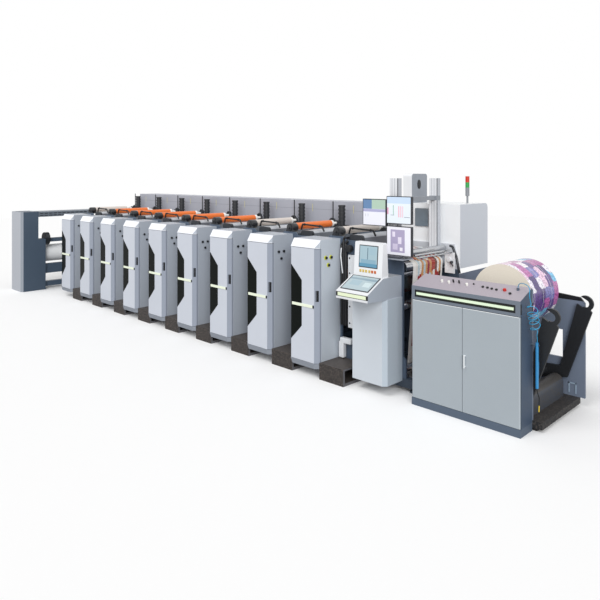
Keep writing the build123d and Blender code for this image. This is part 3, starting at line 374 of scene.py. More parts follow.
def joined(name, pieces):
    """Join pieces into one, each with its own finish."""
    bpy.ops.object.select_all(action="DESELECT")
    for piece in pieces:
        piece.select_set(True)
    bpy.context.view_layer.objects.active = pieces[0]
    bpy.ops.object.join()
    pieces[0].name = name
    return pieces[0]


yellow = coat("moulded_abs_yellow", "#D8DC3A", rough=0.4, grain=0.8)
collars = [bar(f"collar_{k}", (HOUSE_W, y, z), (HOUSE_W + COLLAR_OUT, y, z), COLLAR_R)
           for k, (y, z) in enumerate(BUTTONS)]
fit(joined("button_collars", collars), yellow)

# Steps: chequer plate folded over a box frame, darker on the front and worn brown on
# the treads. The plate's tears are drawn as a coarse grain.
TREAD_GRAIN = 14
TREAD_DEPTH = 1.2
steps_zones = [("#262322", {"ny": MINUS}), ("#5E6066", {"nx": PLUS})]
steps_coat = coat("chequer_plate", "#4A4542", steps_zones, rough=0.55, grain=TREAD_GRAIN,
                  depth=TREAD_DEPTH, tone=0.25, speck=("#5F5651", 12))
dress("steps", steps_coat)

# Side plates and the gear between them: ground plates with blued edges, chromed and
# engraved rollers, rubber-covered impression rollers and stainless trays.
plate_coat = coat("powder_coat_blue_grey", "#4C5A6C", rough=0.42)
chrome = coat("ground_steel", "#C9CBCE", metal=1.0, rough=0.22, grain=4, depth=0.01)
dress("drive_side_plates unwind_chucks operator_side_plates", plate_coat)
delivery_zones = [("#C9CCD2", {"y": (1.35, 1.5), "z": (1.33, 1.70)})]
dress("delivery_side_plates", coat("powder_coat_delivery", "#4C5A6C", delivery_zones, rough=0.42))
dress("plate_cylinders tie_bars rewind_shaft unwind_shaft idler_rollers ink_trays", chrome)
dress("anilox_rollers", coat("engraved_ceramic", "#3A3C40", rough=0.5, grain=0.4, depth=0.03))
dress("impression_rollers", coat("ground_rubber", "#6A2A22", rough=0.7, grain=0.6))
# The drive housings are painted darker towards their foot, painted shade.
dress("drive_housings", coat("powder_coat_slate", "#4A525E", rough=0.5, height_shading=(0.3, 1.7, 0.8)))
dress("sleeve_pedestals", coat("blackened_steel", "#23262B", rough=0.45))
# The dryer hoods' upward faces are painted lighter, a painted highlight.
hood_zones = [("#B4B8BE", {"nz": (0.3, 1.1)}), ("#26292E", {"y": (0.3, 0.50)}),
              ("#26292E", {"y": (1.30, 1.5)})]
dress("dryer_hoods", coat("powder_coat_hood_grey", "#6B7078", hood_zones, rough=0.4))
dress("base_frame base_cross_beams levelling_feet", coat("brushed_on_enamel", "#3F4A58", rough=0.5))

# Sleeves: printing sleeves of glass fibre with an orange polyurethane skin and white end
# bands, laid up on the units. The first, seventh and last units carry bare pale ones.
PALE_SLEEVES = ((0.2, 0.6), (-1.54, -1.14), (-6.76, -6.36))
sleeve_zones = [("#D2C9C2", {"x": pale}) for pale in PALE_SLEEVES]
sleeve_zones += [("#F2F0EC", {"y": (0, 0.545)}), ("#F2F0EC", {"y": (1.27, 1.5)})]
dress("print_sleeves", coat("polyurethane_skin", "#EE7A36", sleeve_zones, rough=0.35))

# Sleeve guards: spun drums of blackened steel over the near end of each sleeve's mandrel,
# with a stepped cap and a clamping knob.
GUARD_X, GUARD_Z = 0.405, 1.790
guard_parts = [
    ("guard_drum", 0.432, 0.545, 0.068, 0.010, 24),
    ("guard_cap", 0.420, 0.434, 0.045, 0.003, 24),
    ("guard_knob", 0.402, 0.421, 0.018, 0.003, 12),
]
guard = joined("sleeve_guard_9", [
    bar(name, (GUARD_X, y0, GUARD_Z), (GUARD_X, y1, GUARD_Z), radius, soft, sides)
    for name, y0, y1, radius, soft, sides in guard_parts])
guard_black = coat("spun_steel_black", "#1E2024", rough=0.3, grain=3, depth=0.03, clear=0.2)
for i in range(1, UNITS):
    fit(copied(guard, f"sleeve_guard_{i}", (i - UNITS) * PITCH), guard_black)
fit(guard, guard_black)

# Air pipes: black hoses on elbows that run from each unit to the next at the height of the
# sleeves, with a clamp at each end.
PIPE_Y = 0.560
PIPE_R = 0.012
CLAMP_R = 0.018
pipe_parts = [
    ("pipe_run", 0.530, 1.842, 0.900, 1.832, PIPE_R),
    ("pipe_foot_1", 0.505, 1.765, 0.532, 1.843, PIPE_R),
    ("pipe_foot_2", 0.898, 1.833, 0.940, 1.765, PIPE_R),
    ("pipe_clamp_1", 0.560, 1.841, 0.576, 1.841, CLAMP_R),
    ("pipe_clamp_2", 0.850, 1.833, 0.866, 1.833, CLAMP_R),
]
pipe = joined("air_pipe_9", [
    bar(name, (x0, PIPE_Y, z0), (x1, PIPE_Y, z1), radius, 0.002, 12)
    for name, x0, z0, x1, z1, radius in pipe_parts])
pipe_rubber = coat("ribbed_rubber_black", "#17181B", rough=0.55, grain=6, depth=0.4)
for i in range(1, UNITS):
    fit(copied(pipe, f"air_pipe_{i}", (i - UNITS) * PITCH), pipe_rubber)
fit(pipe, pipe_rubber)

# Electrical cabinets: bolted sheet-steel cabinets in warm grey, with a seam high on their
# doors and a short yellow mark beside each of them.
wall_zones = [("#8F919B", {"z": (1.974, 1.981), "ny": MINUS}),
              ("#D8D08C", {"x": (0.478, 0.488), "z": (1.94, 2.06), "ny": MINUS})]
dress("drive_cabinets", coat("powder_coat_warm_grey", "#AFB1BB", wall_zones, rough=0.45, pitch=PITCH))

# Blowers: cast aluminium motors, sprayed black, with stacked cooling fins. They stand on the
# drive housings, each beside a thin mast.
dress("blower_motors", coat("cast_aluminium_black", "#26282C", rough=0.5, grain=2, depth=0.2))

# Unwinder: welded towers of sheet steel, pale on the front and dark blue on the inside,
# with a slotted dark beam on top and a white guide drum.
# Faces turned partly to the front are painted a mid grey, painted shading for the way they face the light.
unwinder_zones = [("#AEB2BA", {"ny": (-1.1, -0.9), "y": (-0.6, -0.4)}), ("#8E949D", {"ny": (-0.9, -0.3)}),
                  ("#3E4A5A", {"nz": PLUS}),
                  ("#1B1F24", {"x": (-8.13, -7.84), "y": (0.034, 0.14), "z": (0.90, 1.28)})]
dress("unwinder_frame", coat("powder_coat_dark_blue", "#465566", unwinder_zones, rough=0.42))
dress("unwinder_beam", coat("powder_coat_iron_grey", "#68717C", rough=0.45))
dress("unwinder_rollers", coat("rubber_white", "#E6E8EA", rough=0.4))

# Beam slots: black blocks set a little back in the beam's two rows of slots, painted shade
# for the dark inside of the slots.
SLOT_FIRST = -0.085
SLOT_PITCH = 0.1004545
SLOT_ROWS = (1.637, 1.681)
SLOTS = 11
SLOT_LOW = (-7.932, SLOT_FIRST + 0.001, 0.001)
SLOT_HIGH = (-7.898, SLOT_FIRST + 0.079, 0.017)
slot_shades = []
for row, z in enumerate(SLOT_ROWS):
    first = block(f"slot_{row}", (*SLOT_LOW[:2], z + SLOT_LOW[2]), (*SLOT_HIGH[:2], z + SLOT_HIGH[2]), 0.001)
    slot_shades += [first] + [copied(first, f"slot_{row}_{k}", y=k * SLOT_PITCH) for k in range(1, SLOTS)]
fit(joined("beam_slot_shade", slot_shades), guard_black)

# Paper: the unprinted run and the new roll, white coated stock wound on its core at the
# mill.
paper = coat("coated_paper", "#EFEDE8", rough=0.55, grain=0.5, depth=0.01, tone=0.02)
dress("web_top_run unwind_roll", paper)


MOTIF_EDGE = (0.12, 0.5)
MOTIF_TONE = (0.42, 1.15)
MOTIF_SHARE = 0.8


def label_stock(name, tints, ground, flat_way, cell, spread, motif_size):
    """Printed stock: blocks of ink of about one cell with a small motif in them, laid out on
    the flat coordinates that flat_way works out. The motif's size is in millimetres."""
    material = coat(name, ground, rough=0.25, grain=0.5, depth=0.01, clear=0.3)
    tree = material.node_tree
    spot = add(tree, "ShaderNodeTexCoord").outputs
    flat = flat_way(tree, spot)
    sized = add(tree, "ShaderNodeMapping", {0: flat.outputs[0]}, vector_type="TEXTURE",
                in_3=(cell[0], cell[1], 1))
    blocks = add(tree, "ShaderNodeTexVoronoi", {0: sized.outputs[0]}, distance="CHEBYCHEV",
                 voronoi_dimensions="2D", in_2=1, in_8=spread)
    pick = add(tree, "ShaderNodeSeparateXYZ", {0: blocks.outputs["Color"]})
    ramp = add(tree, "ShaderNodeValToRGB", {0: pick.outputs[0]})
    ramp.color_ramp.interpolation = "CONSTANT"
    stops = ramp.color_ramp.elements
    while len(stops) < len(tints):
        stops.new(0.5)
    for k, tint in enumerate(tints):
        stops[k].position = k / len(tints)
        stops[k].color = linear(tint)
    motif = add(tree, "ShaderNodeTexVoronoi", {0: flat.outputs[0]}, voronoi_dimensions="2D",
                in_2=MM_IN_M / motif_size)
    leafy = add(tree, "ShaderNodeMapRange", {0: motif.outputs["Distance"]}, in_1=MOTIF_EDGE[0],
                in_2=MOTIF_EDGE[1], in_3=MOTIF_TONE[0], in_4=MOTIF_TONE[1])
    inked = add(tree, "ShaderNodeMix", {6: ramp.outputs[0], 7: leafy.outputs[0]}, data_type="RGBA",
                blend_type="MULTIPLY", in_0=MOTIF_SHARE)
    tree.links.new(inked.outputs[2], tree.nodes["Principled BSDF"].inputs["Base Color"])
    return material, tree, spot, inked


# Printed web: labels in red, brown and pale blue blocks that run along the paper, between
# white margins.
def web_way(tree, spot):
    """Distance along the web and across it: X counts on, and Z counts back, along its path."""
    axes = add(tree, "ShaderNodeSeparateXYZ", {0: spot["Object"]}).outputs
    along = add(tree, "ShaderNodeMath", {0: axes[0], 1: axes[2]}, operation="SUBTRACT")
    return add(tree, "ShaderNodeCombineXYZ", {0: along.outputs[0], 1: axes[1]})


WEB_TINTS = ["#B23A2A", "#F3EFE8", "#6E4030", "#C9DCE2", "#D9A06A", "#F3EFE8", "#A33A44"]
WEB_CELL = (0.20, 0.042)
PRINT_MIDDLE, PRINT_HALF = 0.9430, 0.277
web_print, tree, spot, inked = label_stock("printed_web", WEB_TINTS, "#F3EFE8", web_way, WEB_CELL, 0.35, 12)
line = add(tree, "ShaderNodeMapping", {0: spot["Object"]}, in_1=(-LINE_X, -LINE_Y, 0))
across = add(tree, "ShaderNodeSeparateXYZ", {0: line.outputs[0]}).outputs
inside = add(tree, "ShaderNodeMath", {0: across[1]}, operation="COMPARE", in_1=PRINT_MIDDLE,
             in_2=PRINT_HALF)
margin = add(tree, "ShaderNodeMix", {0: inside.outputs[0], 7: inked.outputs[2]}, data_type="RGBA",
             in_6=linear("#F5F3EF"))
tree.links.new(margin.outputs[2], tree.nodes["Principled BSDF"].inputs["Base Color"])
dress("web_delivery_run", web_print)

# Finished reel: wound label stock, printed in blocks of purple, magenta and blue with pale
# labels between. Its slit ends show cream paper with fine rings.
REEL = (2.575, 1.245)
REEL_R = 0.335
LANE = 0.214
SLIT = 0.004
RING_SCALE = 260
REEL_CELL = (0.130, 0.118)
REEL_TINTS = ["#5E4088", "#EDE8F4", "#A84A94", "#7C79B8", "#E6C3DC", "#4C3576", "#F4EFF5",
              "#6FBBE2", "#B765A6"]


def about_shaft(tree, spot):
    """Coordinates counted from the reel's shaft."""
    return add(tree, "ShaderNodeMapping", {0: spot["Object"]}, in_1=(-LINE_X - REEL[0], -LINE_Y, -REEL[1]))


def reel_way(tree, spot):
    """Distance round the reel and across it."""
    axes = add(tree, "ShaderNodeSeparateXYZ", {0: about_shaft(tree, spot).outputs[0]}).outputs
    turn = add(tree, "ShaderNodeMath", {0: axes[2], 1: axes[0]}, operation="ARCTAN2")
    along = add(tree, "ShaderNodeMath", {0: turn.outputs[0]}, operation="MULTIPLY", in_1=REEL_R)
    return add(tree, "ShaderNodeCombineXYZ", {0: along.outputs[0], 1: axes[1]})


reel_print, tree, spot, tinted = label_stock("printed_label_stock", REEL_TINTS, "#EDE8F4", reel_way,
                                             REEL_CELL, 0.5, 26)
centred = about_shaft(tree, spot)
axes = add(tree, "ShaderNodeSeparateXYZ", {0: centred.outputs[0]}).outputs
faces = add(tree, "ShaderNodeSeparateXYZ", {0: spot["Normal"]}).outputs
lane = add(tree, "ShaderNodeMath", {0: axes[1]}, operation="WRAP", in_1=LANE, in_2=0)
slit = add(tree, "ShaderNodeMath", {0: lane.outputs[0]}, operation="LESS_THAN", in_1=SLIT)
printed = add(tree, "ShaderNodeMix", {0: slit.outputs[0], 6: tinted.outputs[2]}, data_type="RGBA",
              in_7=linear("#F6F3F5"))
radius = add(tree, "ShaderNodeVectorMath", {0: centred.outputs[0]}, operation="MULTIPLY")
radius.inputs[1].default_value = (1, 0, 1)
reach = add(tree, "ShaderNodeVectorMath", {0: radius.outputs[0]}, operation="LENGTH")
rings = add(tree, "ShaderNodeTexNoise", {0: reach.outputs[1]}, in_2=RING_SCALE, in_3=2)
ends = add(tree, "ShaderNodeMix", {0: rings.outputs[0]}, data_type="RGBA", in_6=linear("#F0E8DA"),
           in_7=linear("#DCD2C2"))
flank = add(tree, "ShaderNodeMath", {0: faces[1]}, operation="ABSOLUTE")
is_end = add(tree, "ShaderNodeMath", {0: flank.outputs[0]}, operation="GREATER_THAN", in_1=0.5)
skin = add(tree, "ShaderNodeMix", {0: is_end.outputs[0], 6: printed.outputs[2], 7: ends.outputs[2]},
           data_type="RGBA")
tree.links.new(skin.outputs[2], tree.nodes["Principled BSDF"].inputs["Base Color"])
dress("rewind_reel", reel_print)

# Console: folded steel in the housings' grey, with a lacquered white desk and screen head
# fixed on it.
# The sides of the console and its desk that face the reel are painted darker, painted shade.
console_zones = [("#B2BDC7", {"nx": PLUS})]
dress("console_housing", coat("powder_coat_console", "#CDD4DC", console_zones, rough=0.35))
white_lacquer = coat("lacquer_white", "#EDEFF2", rough=0.3, clear=0.2)
desk_zones = [("#A9B1BC", {"nx": PLUS}), ("#101214", {"y": (-0.22, -0.2), "z": (1.140, 1.192)})]
dress("console_desk", coat("lacquer_desk_white", "#E6E8EC", desk_zones, rough=0.3, clear=0.2))
dress("console_screen", white_lacquer)

# Console screens: touch panels behind glass in thin dark bezels, one in the head and one in
# the desk. They show a plain page of pale blue blocks.
HEAD_LEAN = radians(4.34)
HEAD_PIVOT = (0.075, 1.350)
DESK_SLOPE = radians(28.2)
DESK_PIVOT = (-0.205, 1.200)


def leaned(piece, y, z, angle):
    """Turn a piece about a line along X through a point of the line's section."""
    pivot = at(0, y, z)
    place = Matrix.Translation(pivot) @ Matrix.Rotation(angle, 4, "X") @ Matrix.Translation(-pivot)
    piece.data.transform(place)
    return piece


bezel_black = coat("moulded_bezel", "#2A2D33", rough=0.35, grain=0.8)
head_page = [
    ("#5F93AE", {"z": (1.43, 1.500)}),
    ("#58707F", {"x": (1.182, 1.192), "z": (1.50, 1.68)}),
    ("#9DB8C4", {"x": (1.21, 1.30), "z": (1.60, 1.68)}),
    ("#86A9BA", {"x": (1.09, 1.31), "z": (1.50, 1.545)}),
]
head_glass = coat("lit_page_head", "#A5BEC8", head_page, rough=0.12, grain=30, depth=0.01,
                  glow=0.06, shine=0.3)
head_frame = block("head_bezel", (1.060, 0.0715, 1.450), (1.335, 0.0765, 1.710), 0.002)
head_pane = block("head_glass", (1.070, 0.0700, 1.460), (1.325, 0.0720, 1.700), 0.001)
for piece in (head_frame, head_pane):
    leaned(piece, *HEAD_PIVOT, -HEAD_LEAN)
fit(head_frame, bezel_black)
fit(head_pane, head_glass)
desk_page = [
    ("#8FA3AF", {"y": (0.000, 0.030)}),
    ("#A2B9C3", {"x": (1.05, 1.20), "y": (-0.09, -0.01)}),
    ("#C6D6D9", {"x": (1.25, 1.35), "y": (-0.10, -0.03)}),
]
desk_glass = coat("lit_page_desk", "#B2C4CA", desk_page, rough=0.12, grain=30, depth=0.01, shine=0.3)
desk_frame = block("desk_bezel", (0.985, -0.160, 1.1995), (1.395, 0.110, 1.2045), 0.002)
desk_pane = block("desk_glass", (1.000, -0.147, 1.2035), (1.380, 0.097, 1.2060), 0.001)
for piece in (desk_frame, desk_pane):
    leaned(piece, *DESK_PIVOT, DESK_SLOPE)
fit(desk_frame, bezel_black)
fit(desk_pane, desk_glass)

# Desk light: an extruded acrylic diffuser, lit from behind and clipped in the desk's front
# edge.
diffuser = coat("lit_diffuser_desk", "#DDE7C6", rough=0.3, glow=0.2)
fit(block("desk_light", (0.985, -0.2075, 1.1465), (1.395, -0.2040, 1.1855), 0.0015), diffuser)

# Console keys: square moulded push buttons under the head's screen, four of ochre and two
# of orange.
KEY_XS = (1.090, 1.132, 1.174, 1.222, 1.262, 1.304)
KEY_HALF = 0.014
ORANGE_KEYS = (5, 6)
key_ochre = coat("moulded_key_ochre", "#D8B85E", rough=0.4, grain=0.8)
key_orange = coat("moulded_key_orange", "#C8662E", rough=0.4, grain=0.8)
for k, x in enumerate(KEY_XS, 1):
    key = block(f"console_key_{k}", (x - KEY_HALF, 0.0735, 1.394), (x + KEY_HALF, 0.0805, 1.426), 0.003)
    fit(key, key_orange if k in ORANGE_KEYS else key_ochre)

# Fittings beside the last unit: a white steel gear cover with black screws, a loom of black
# hoses with one white tube, a black roller end and a white duct that bends over the step.
cover = block("gear_cover", (0.620, 0.404, 0.600), (0.940, 0.427, 1.520), 0.006)
fit(cover, white_lacquer)
SCREW_ZS = (0.660, 0.870, 1.080, 1.290, 1.480)
screws = [bar(f"cover_screw_{k}", (0.650, 0.399, z), (0.650, 0.405, z), 0.011, 0.002, 12)
          for k, z in enumerate(SCREW_ZS)]
fit(joined("gear_cover_screws", screws), guard_black)
LOOM_Y = 0.405
LOOM_FOOT = 0.62
LOOM_BEND = 0.03
loom = []
for k, (x, z, radius) in enumerate(((0.515, 1.64, 0.016), (0.548, 1.71, 0.014), (0.585, 1.66, 0.019))):
    top, bend = (x, LOOM_Y, z), (x + LOOM_BEND, LOOM_Y, z + LOOM_BEND)
    loom.append(bar(f"loom_{k}", (x, LOOM_Y, LOOM_FOOT), top, radius, 0.004, 16))
    loom.append(bar(f"loom_end_{k}", top, bend, radius, 0.004, 16))
loom.append(bar("roller_end", (0.650, 0.360, 1.600), (0.650, 0.427, 1.600), 0.046, 0.008))
fit(joined("hose_loom", loom), pipe_rubber)
white_tube = joined("white_tube", [
    bar("tube_high", (0.530, 0.381, 1.600), (0.520, 0.381, 1.500), 0.008, 0.002, 12),
    bar("tube_low", (0.520, 0.381, 1.500), (0.552, 0.381, 1.280), 0.008, 0.002, 12),
])
fit(white_tube, white_lacquer)
duct = joined("white_duct", [
    block("duct_foot", (0.500, 0.360, 0.215), (0.580, 0.426, 0.420), 0.012),
    block("duct_run", (0.520, 0.360, 0.400), (0.700, 0.426, 0.470), 0.012),
])
fit(duct, white_lacquer)

# Portal: extruded aluminium posts and a cross bar with grooves, screwed together. The side
# that faces the reel is painted darker, painted shade, and the grooves are dark lines of
# painted shade.
portal_zones = [
    ("#B9BDC4", {"nx": PLUS}),
    ("#4A4F57", {"nx": PLUS, "y": (0.455, 0.475)}),
    ("#4A4F57", {"nx": PLUS, "y": (1.310, 1.330)}),
    ("#A9ADB4", {"x": (1.262, 1.268), "ny": MINUS}),
    ("#A9ADB4", {"x": (1.300, 1.306), "ny": MINUS}),
    ("#8D9299", {"z": (2.2, 2.26)}),
]
dress("display_portal", coat("anodised_aluminium", "#E6E8EC", portal_zones, rough=0.35, grain=3, depth=0.01))

# Displays: flat screens in moulded cases, fixed to the portal. Each shows a plain generic
# page.
dress("displays", bezel_black)
DISPLAYS = [(0.880, 1.232, 1.912, 2.235), (1.240, 1.590, 1.950, 2.275), (1.240, 1.590, 1.580, 1.925)]
BEZEL = 0.009
GLASS_Y = (0.3785, 0.3805)
pages = [
    ("#E9EAF4", [
        ("#5D7FA8", {"x": (0.88, 1.02), "z": (2.115, 2.235)}),
        ("#A9C2B0", {"x": (1.02, 1.24), "z": (2.115, 2.235)}),
        ("#A6A6C8", {"z": (2.080, 2.113)}),
        ("#A3A6AE", {"x": (0.92, 0.925), "z": (2.02, 2.055)}),
        ("#A3A6AE", {"x": (0.96, 0.965), "z": (2.02, 2.055)}),
    ]),
    ("#E6EEF6", [
        ("#C3D6EC", {"z": (2.19, 2.275)}),
        ("#E9AFC0", {"x": (1.41, 1.425), "z": (2.03, 2.16)}),
        ("#E9AFC0", {"x": (1.44, 1.452), "z": (2.03, 2.16)}),
        ("#E9AFC0", {"x": (1.468, 1.476), "z": (2.03, 2.16)}),
        ("#6FA888", {"x": (1.335, 1.343), "z": (2.05, 2.17)}),
        ("#D59AB6", {"x": (1.25, 1.27), "z": (2.06, 2.14)}),
        ("#8A90A0", {"x": (1.30, 1.35), "z": (2.05, 2.056)}),
        ("#8A90A0", {"x": (1.49, 1.57), "z": (2.03, 2.036)}),
    ]),
    ("#ECECF4", [
        ("#A79EBC", {"x": (1.300, 1.500), "z": (1.620, 1.885)}),
        ("#DDD6E6", {"x": (1.325, 1.365), "z": (1.80, 1.86)}),
        ("#DDD6E6", {"x": (1.405, 1.455), "z": (1.72, 1.80)}),
        ("#C9C0D6", {"x": (1.33, 1.40), "z": (1.65, 1.72)}),
        ("#EBE7F0", {"x": (1.43, 1.47), "z": (1.64, 1.68)}),
    ]),
]
for k, ((x0, x1, z0, z1), (ground, marks)) in enumerate(zip(DISPLAYS, pages), 1):
    lit = coat(f"lit_page_{k}", ground, marks, rough=0.15, grain=30, depth=0.01, glow=0.15, clear=0.3)
    pane = block(f"display_glass_{k}", (x0 + BEZEL, GLASS_Y[0], z0 + BEZEL),
                 (x1 - BEZEL, GLASS_Y[1], z1 - BEZEL), 0.0008)
    fit(pane, lit)

# Keyboard and mouse on their tray of folded steel: dark keys in rows on a moulded base, and
# a moulded shell with a flat foot.
KEY_ROWS, KEY_COLUMNS = 5, 10
ROW_STEP, COLUMN_STEP = 0.026, 0.0208
MOUSE = (1.560, 0.310, 1.5702)
dress("keyboard_tray", coat("powder_coat_tray", "#8C929C", [("#5B616B", {"nz": PLUS})], rough=0.4))
keyboard = block("keyboard", (1.300, 0.245, 1.5700), (1.520, 0.385, 1.5800), 0.003)
rows = []
for row in range(KEY_ROWS):
    y = row * ROW_STEP
    key = block(f"key_{row}", (1.308, 0.252 + y, 1.5795), (1.326, 0.272 + y, 1.5845), 0.002)
    rows += [key] + [copied(key, f"key_{row}_{k}", k * COLUMN_STEP) for k in range(1, KEY_COLUMNS)]
keyboard = joined("keyboard", [keyboard] + rows)
fit(keyboard, coat("moulded_keys_dark", "#3A3D44", rough=0.5, grain=0.8))
bpy.ops.object.select_all(action="DESELECT")
bpy.ops.mesh.primitive_uv_sphere_add(segments=24, ring_count=12, radius=0.03, location=at(*MOUSE))
mouse = bpy.context.object
mouse.name = "mouse"
mouse.scale = (0.9, 1.6, 0.9)
bpy.ops.object.transform_apply(location=True, rotation=True, scale=True)
cut(mouse, MOUSE, (0, 0, -1))
bpy.ops.object.select_all(action="DESELECT")
mouse.select_set(True)
bpy.ops.object.shade_smooth_by_angle(angle=radians(40))
fit(mouse, bezel_black)

# Hood box on the drive side: white sheet steel on a dark blue column, with its exhaust and
# a lamp.
# The sides of the hood box and of the exhaust box that face the reel are painted grey, painted shade.
hood_box_zones = [("#C8CDD5", {"nx": PLUS}), ("#4C5A6C", {"z": (-1, 1.34)})]
dress("delivery_housing", coat("lacquer_off_white", "#F6F8FA", hood_box_zones, rough=0.4))
dress("exhaust_box", coat("lacquer_vent", "#ECEEF1", [("#8F959E", {"nx": PLUS})], rough=0.35))

# Window of the hood box: a pane of tinted glass, held in its recess by a white rubber
# strip.
# The pane is painted lighter towards its foot, a painted reflection.
smoked = coat("tinted_glass_blue", "#66727C", rough=0.08, grain=40, depth=0.01, clear=0.5,
              height_shading=(1.85, 2.08, 1.35))
fit(block("hood_window", (0.944, 1.4100, 1.847), (1.146, 1.4140, 2.081), 0.001), smoked)

# Vent of the exhaust box: an oval grommet of moulded black rubber, pressed into a hole in
# the box's side.
VENT_Y, VENT_Z = 1.600, 2.400
VENT_OVAL = 1.6
vent = bar("exhaust_vent", (0.879, VENT_Y, VENT_Z), (0.886, VENT_Y, VENT_Z), 0.040, 0.002, 32)
pivot = at(0.880, VENT_Y, VENT_Z)
oval = Matrix.Diagonal((1, 1, VENT_OVAL, 1))
vent.data.transform(Matrix.Translation(pivot) @ oval @ Matrix.Translation(-pivot))
fit(vent, coat("rubber_grommet", "#14161A", rough=0.5))

# Web guide at the end of the delivery: a white bearing plate with a black clamping lever,
# a connector above and a bent black arm that holds the sensor over the paper.
plate = joined("guide_plate", [
    block("guide_sheet", (1.500, 1.240, 1.300), (1.640, 1.252, 1.560), 0.004),
    bar("guide_boss", (1.570, 1.215, 1.470), (1.570, 1.241, 1.470), 0.030, 0.003),
])
fit(plate, white_lacquer)
lever = joined("guide_lever", [
    bar("lever_hub", (1.607, 1.205, 1.442), (1.607, 1.241, 1.442), 0.016, 0.003),
    bar("lever_grip", (1.607, 1.212, 1.442), (1.640, 1.206, 1.395), 0.009, 0.003, 12),
])
fit(lever, bezel_black)
sensor_arm = joined("sensor_arm", [
    bar("arm_low", (1.695, 1.262, 1.308), (1.655, 1.262, 1.500), 0.017, 0.003, 16),
    bar("arm_high", (1.655, 1.262, 1.500), (1.600, 1.262, 1.630), 0.017, 0.003, 16),
    bar("arm_foot", (1.600, 1.262, 1.630), (1.560, 1.262, 1.640), 0.016, 0.003, 16),
])
fit(sensor_arm, bezel_black)

# Guide bars over the delivery: two ground stainless bars between the delivery plates, the
# thinner one a little lower.
guide_bars = [bar("guide_bar_1", (1.565, 0.480, 1.585), (1.565, 1.236, 1.585), 0.013, 0.002, 16),
              bar("guide_bar_2", (1.605, 0.480, 1.560), (1.605, 1.236, 1.560), 0.009, 0.002, 12)]
fit(joined("guide_bars", guide_bars), chrome)

# Stack light: stacked moulded lenses on a short mast, red over green, screwed to the box.
# It isn't lit.
lamp_zones = [("#C8321E", {"z": (2.43, 2.6)}), ("#2E9A4A", {"z": (2.36, 2.43)})]
dress("stack_light", coat("moulded_lamp", "#8A8D92", lamp_zones))

# Rewinder: sheet-steel cabinet with grey doors, slate fascia and a dark plinth, between
# thick side plates, with black lift arms behind it.
# The cabinet's upward faces are painted pale, a painted highlight, and its side towards the reel is painted a
# darker blue, painted shade.
cabinet_zones = [
    ("#A79FA8", {"nz": PLUS, "z": (1.2, 1.5)}),
    ("#435266", {"nx": PLUS}),
    ("#6E7783", {"ny": MINUS, "z": (1.16, 1.32)}),
    ("#15171A", {"y": (0.1705, 0.2), "z": (1.18, 1.28)}),
    ("#546172", {"z": (-1, 0.081)}),
]
dress("rewinder_cabinet", coat("powder_coat_rewinder", "#54616F", cabinet_zones, rough=0.42))
# On the doors, a line along the top edge and the right door's right edge are painted highlights; the handle
# is painted white.
door_highlights_and_handle = [("#EDF0F2", {"z": (1.1495, 1.16), "y": (0.1, 0.1705)}), ("#E6E9EC", {"y": (0.1, 0.1685)}),
              ("#D5DADF", {"x": (2.963, 3.0), "y": (0.1, 0.1705)})]
dress("rewinder_door_left rewinder_door_right",
      coat("powder_coat_door_grey", "#A8B1B8", door_highlights_and_handle, rough=0.36))
plate_zones = [("#15171B", {"z": (1.150, 1.260), "x": (2.60, 3.2)})]
dress("rewinder_side_plates", coat("powder_coat_plate_blue", "#707B8D", plate_zones, rough=0.42))
# The cover's upward faces are painted a warmer grey, painted light on its top.
cover_zones = [("#3A3836", {"nz": PLUS})]
dress("cross_shaft_cover", coat("powder_coat_cover", "#3B4049", cover_zones, rough=0.5,
                                speck=("#454240", 18)))
light_zones = [("#2C3626", {"z": (1.200, 1.2155)}), ("#2C3626", {"z": (1.2430, 1.26)})]
dress("rewinder_light_bar", coat("lit_diffuser", "#D3E3C8", light_zones, rough=0.3, glow=0.3))
dress("lift_arms", coat("painted_steel_black", "#1E2023", rough=0.45))
base_zones = [("#2C2A29", {"nz": PLUS})]
dress("rewinder_base", coat("tread_plate_black", "#1F2022", base_zones, rough=0.6, grain=TREAD_GRAIN,
                            depth=TREAD_DEPTH, speck=("#46413E", 18)))

# Loop on the far side plate: flat bar bent to a loop and welded on, thin enough for the lift
# arm to pass it.
LOOP_Y = (1.3935, 1.3998)
LOOP_TOP = 0.245
loop_parts = [
    ("loop_left", 2.957, 2.971, 0.130),
    ("loop_right", 3.029, 3.043, 0.130),
    ("loop_top", 2.957, 3.043, 0.231),
]
loops = [block(name, (x0, LOOP_Y[0], z0), (x1, LOOP_Y[1], LOOP_TOP), 0.001)
         for name, x0, x1, z0 in loop_parts]
fit(joined("plate_loop", loops), coat("painted_steel_pale_blue", "#93A6B8", rough=0.4))

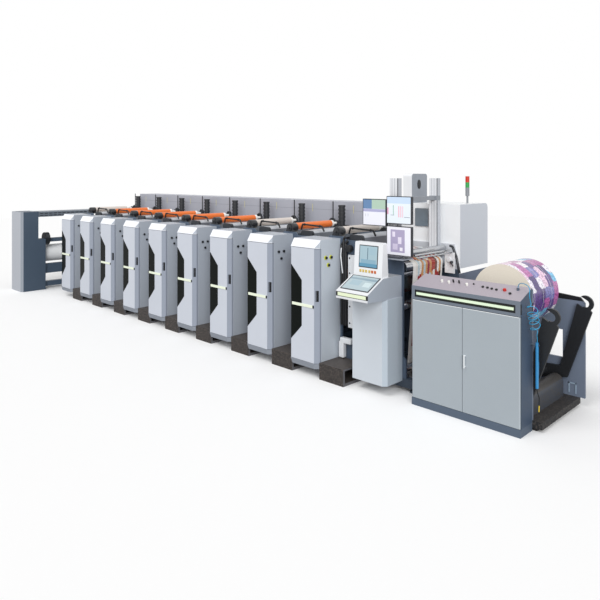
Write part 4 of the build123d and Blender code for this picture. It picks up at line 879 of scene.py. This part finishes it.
# Studio: a pale floor that keeps the shadow, an even sky, a soft key light from the front
# and a fill from the reel's side.
FLOOR_SIZE = 60
SKY_LIGHT, SKY_SEEN = 0.46, 1.0
bpy.ops.object.select_all(action="DESELECT")
bpy.ops.mesh.primitive_plane_add(size=FLOOR_SIZE, location=(0, 0, 0))
floor = bpy.context.object
floor.name = "studio_floor"
material = bpy.data.materials.new("pale_floor")
material.use_nodes = True
tree = material.node_tree
tree.nodes.clear()
path = add(tree, "ShaderNodeLightPath")
seen = add(tree, "ShaderNodeBsdfDiffuse", in_0=(0.98, 0.98, 0.98, 1))
bounce = add(tree, "ShaderNodeBsdfDiffuse", in_0=(0.5, 0.5, 0.5, 1))
mix = add(tree, "ShaderNodeMixShader",
          {0: path.outputs["Is Camera Ray"], 1: bounce.outputs[0], 2: seen.outputs[0]})
add(tree, "ShaderNodeOutputMaterial", {0: mix.outputs[0]})
floor.data.materials.append(material)

world = bpy.data.worlds.new("studio")
bpy.context.scene.world = world
world.use_nodes = True
tree = world.node_tree
tree.nodes.clear()
path = add(tree, "ShaderNodeLightPath").outputs
direct = add(tree, "ShaderNodeMath", {0: path["Is Camera Ray"], 1: path["Is Glossy Ray"]},
             operation="MAXIMUM")
through = add(tree, "ShaderNodeMath", {0: direct.outputs[0], 1: path["Is Transmission Ray"]},
              operation="MAXIMUM")
strength = add(tree, "ShaderNodeMapRange", {0: through.outputs[0]}, in_3=SKY_LIGHT, in_4=SKY_SEEN)
sky = add(tree, "ShaderNodeBackground", {1: strength.outputs[0]}, in_0=(1, 1, 1, 1))
add(tree, "ShaderNodeOutputWorld", {0: sky.outputs[0]})

for name, energy, spread, way in (
        ("key_light", 1.0, 30, (-0.10, -0.55, 0.83)),
        ("fill_light", 2.1, 35, (0.68, -0.60, 0.42))):
    sun_data = bpy.data.lights.new(name, "SUN")
    sun_data.energy = energy
    sun_data.angle = radians(spread)
    sun = bpy.data.objects.new(name, sun_data)
    bpy.context.scene.collection.objects.link(sun)
    sun.rotation_euler = Vector(way).to_track_quat("Z", "Y").to_euler()
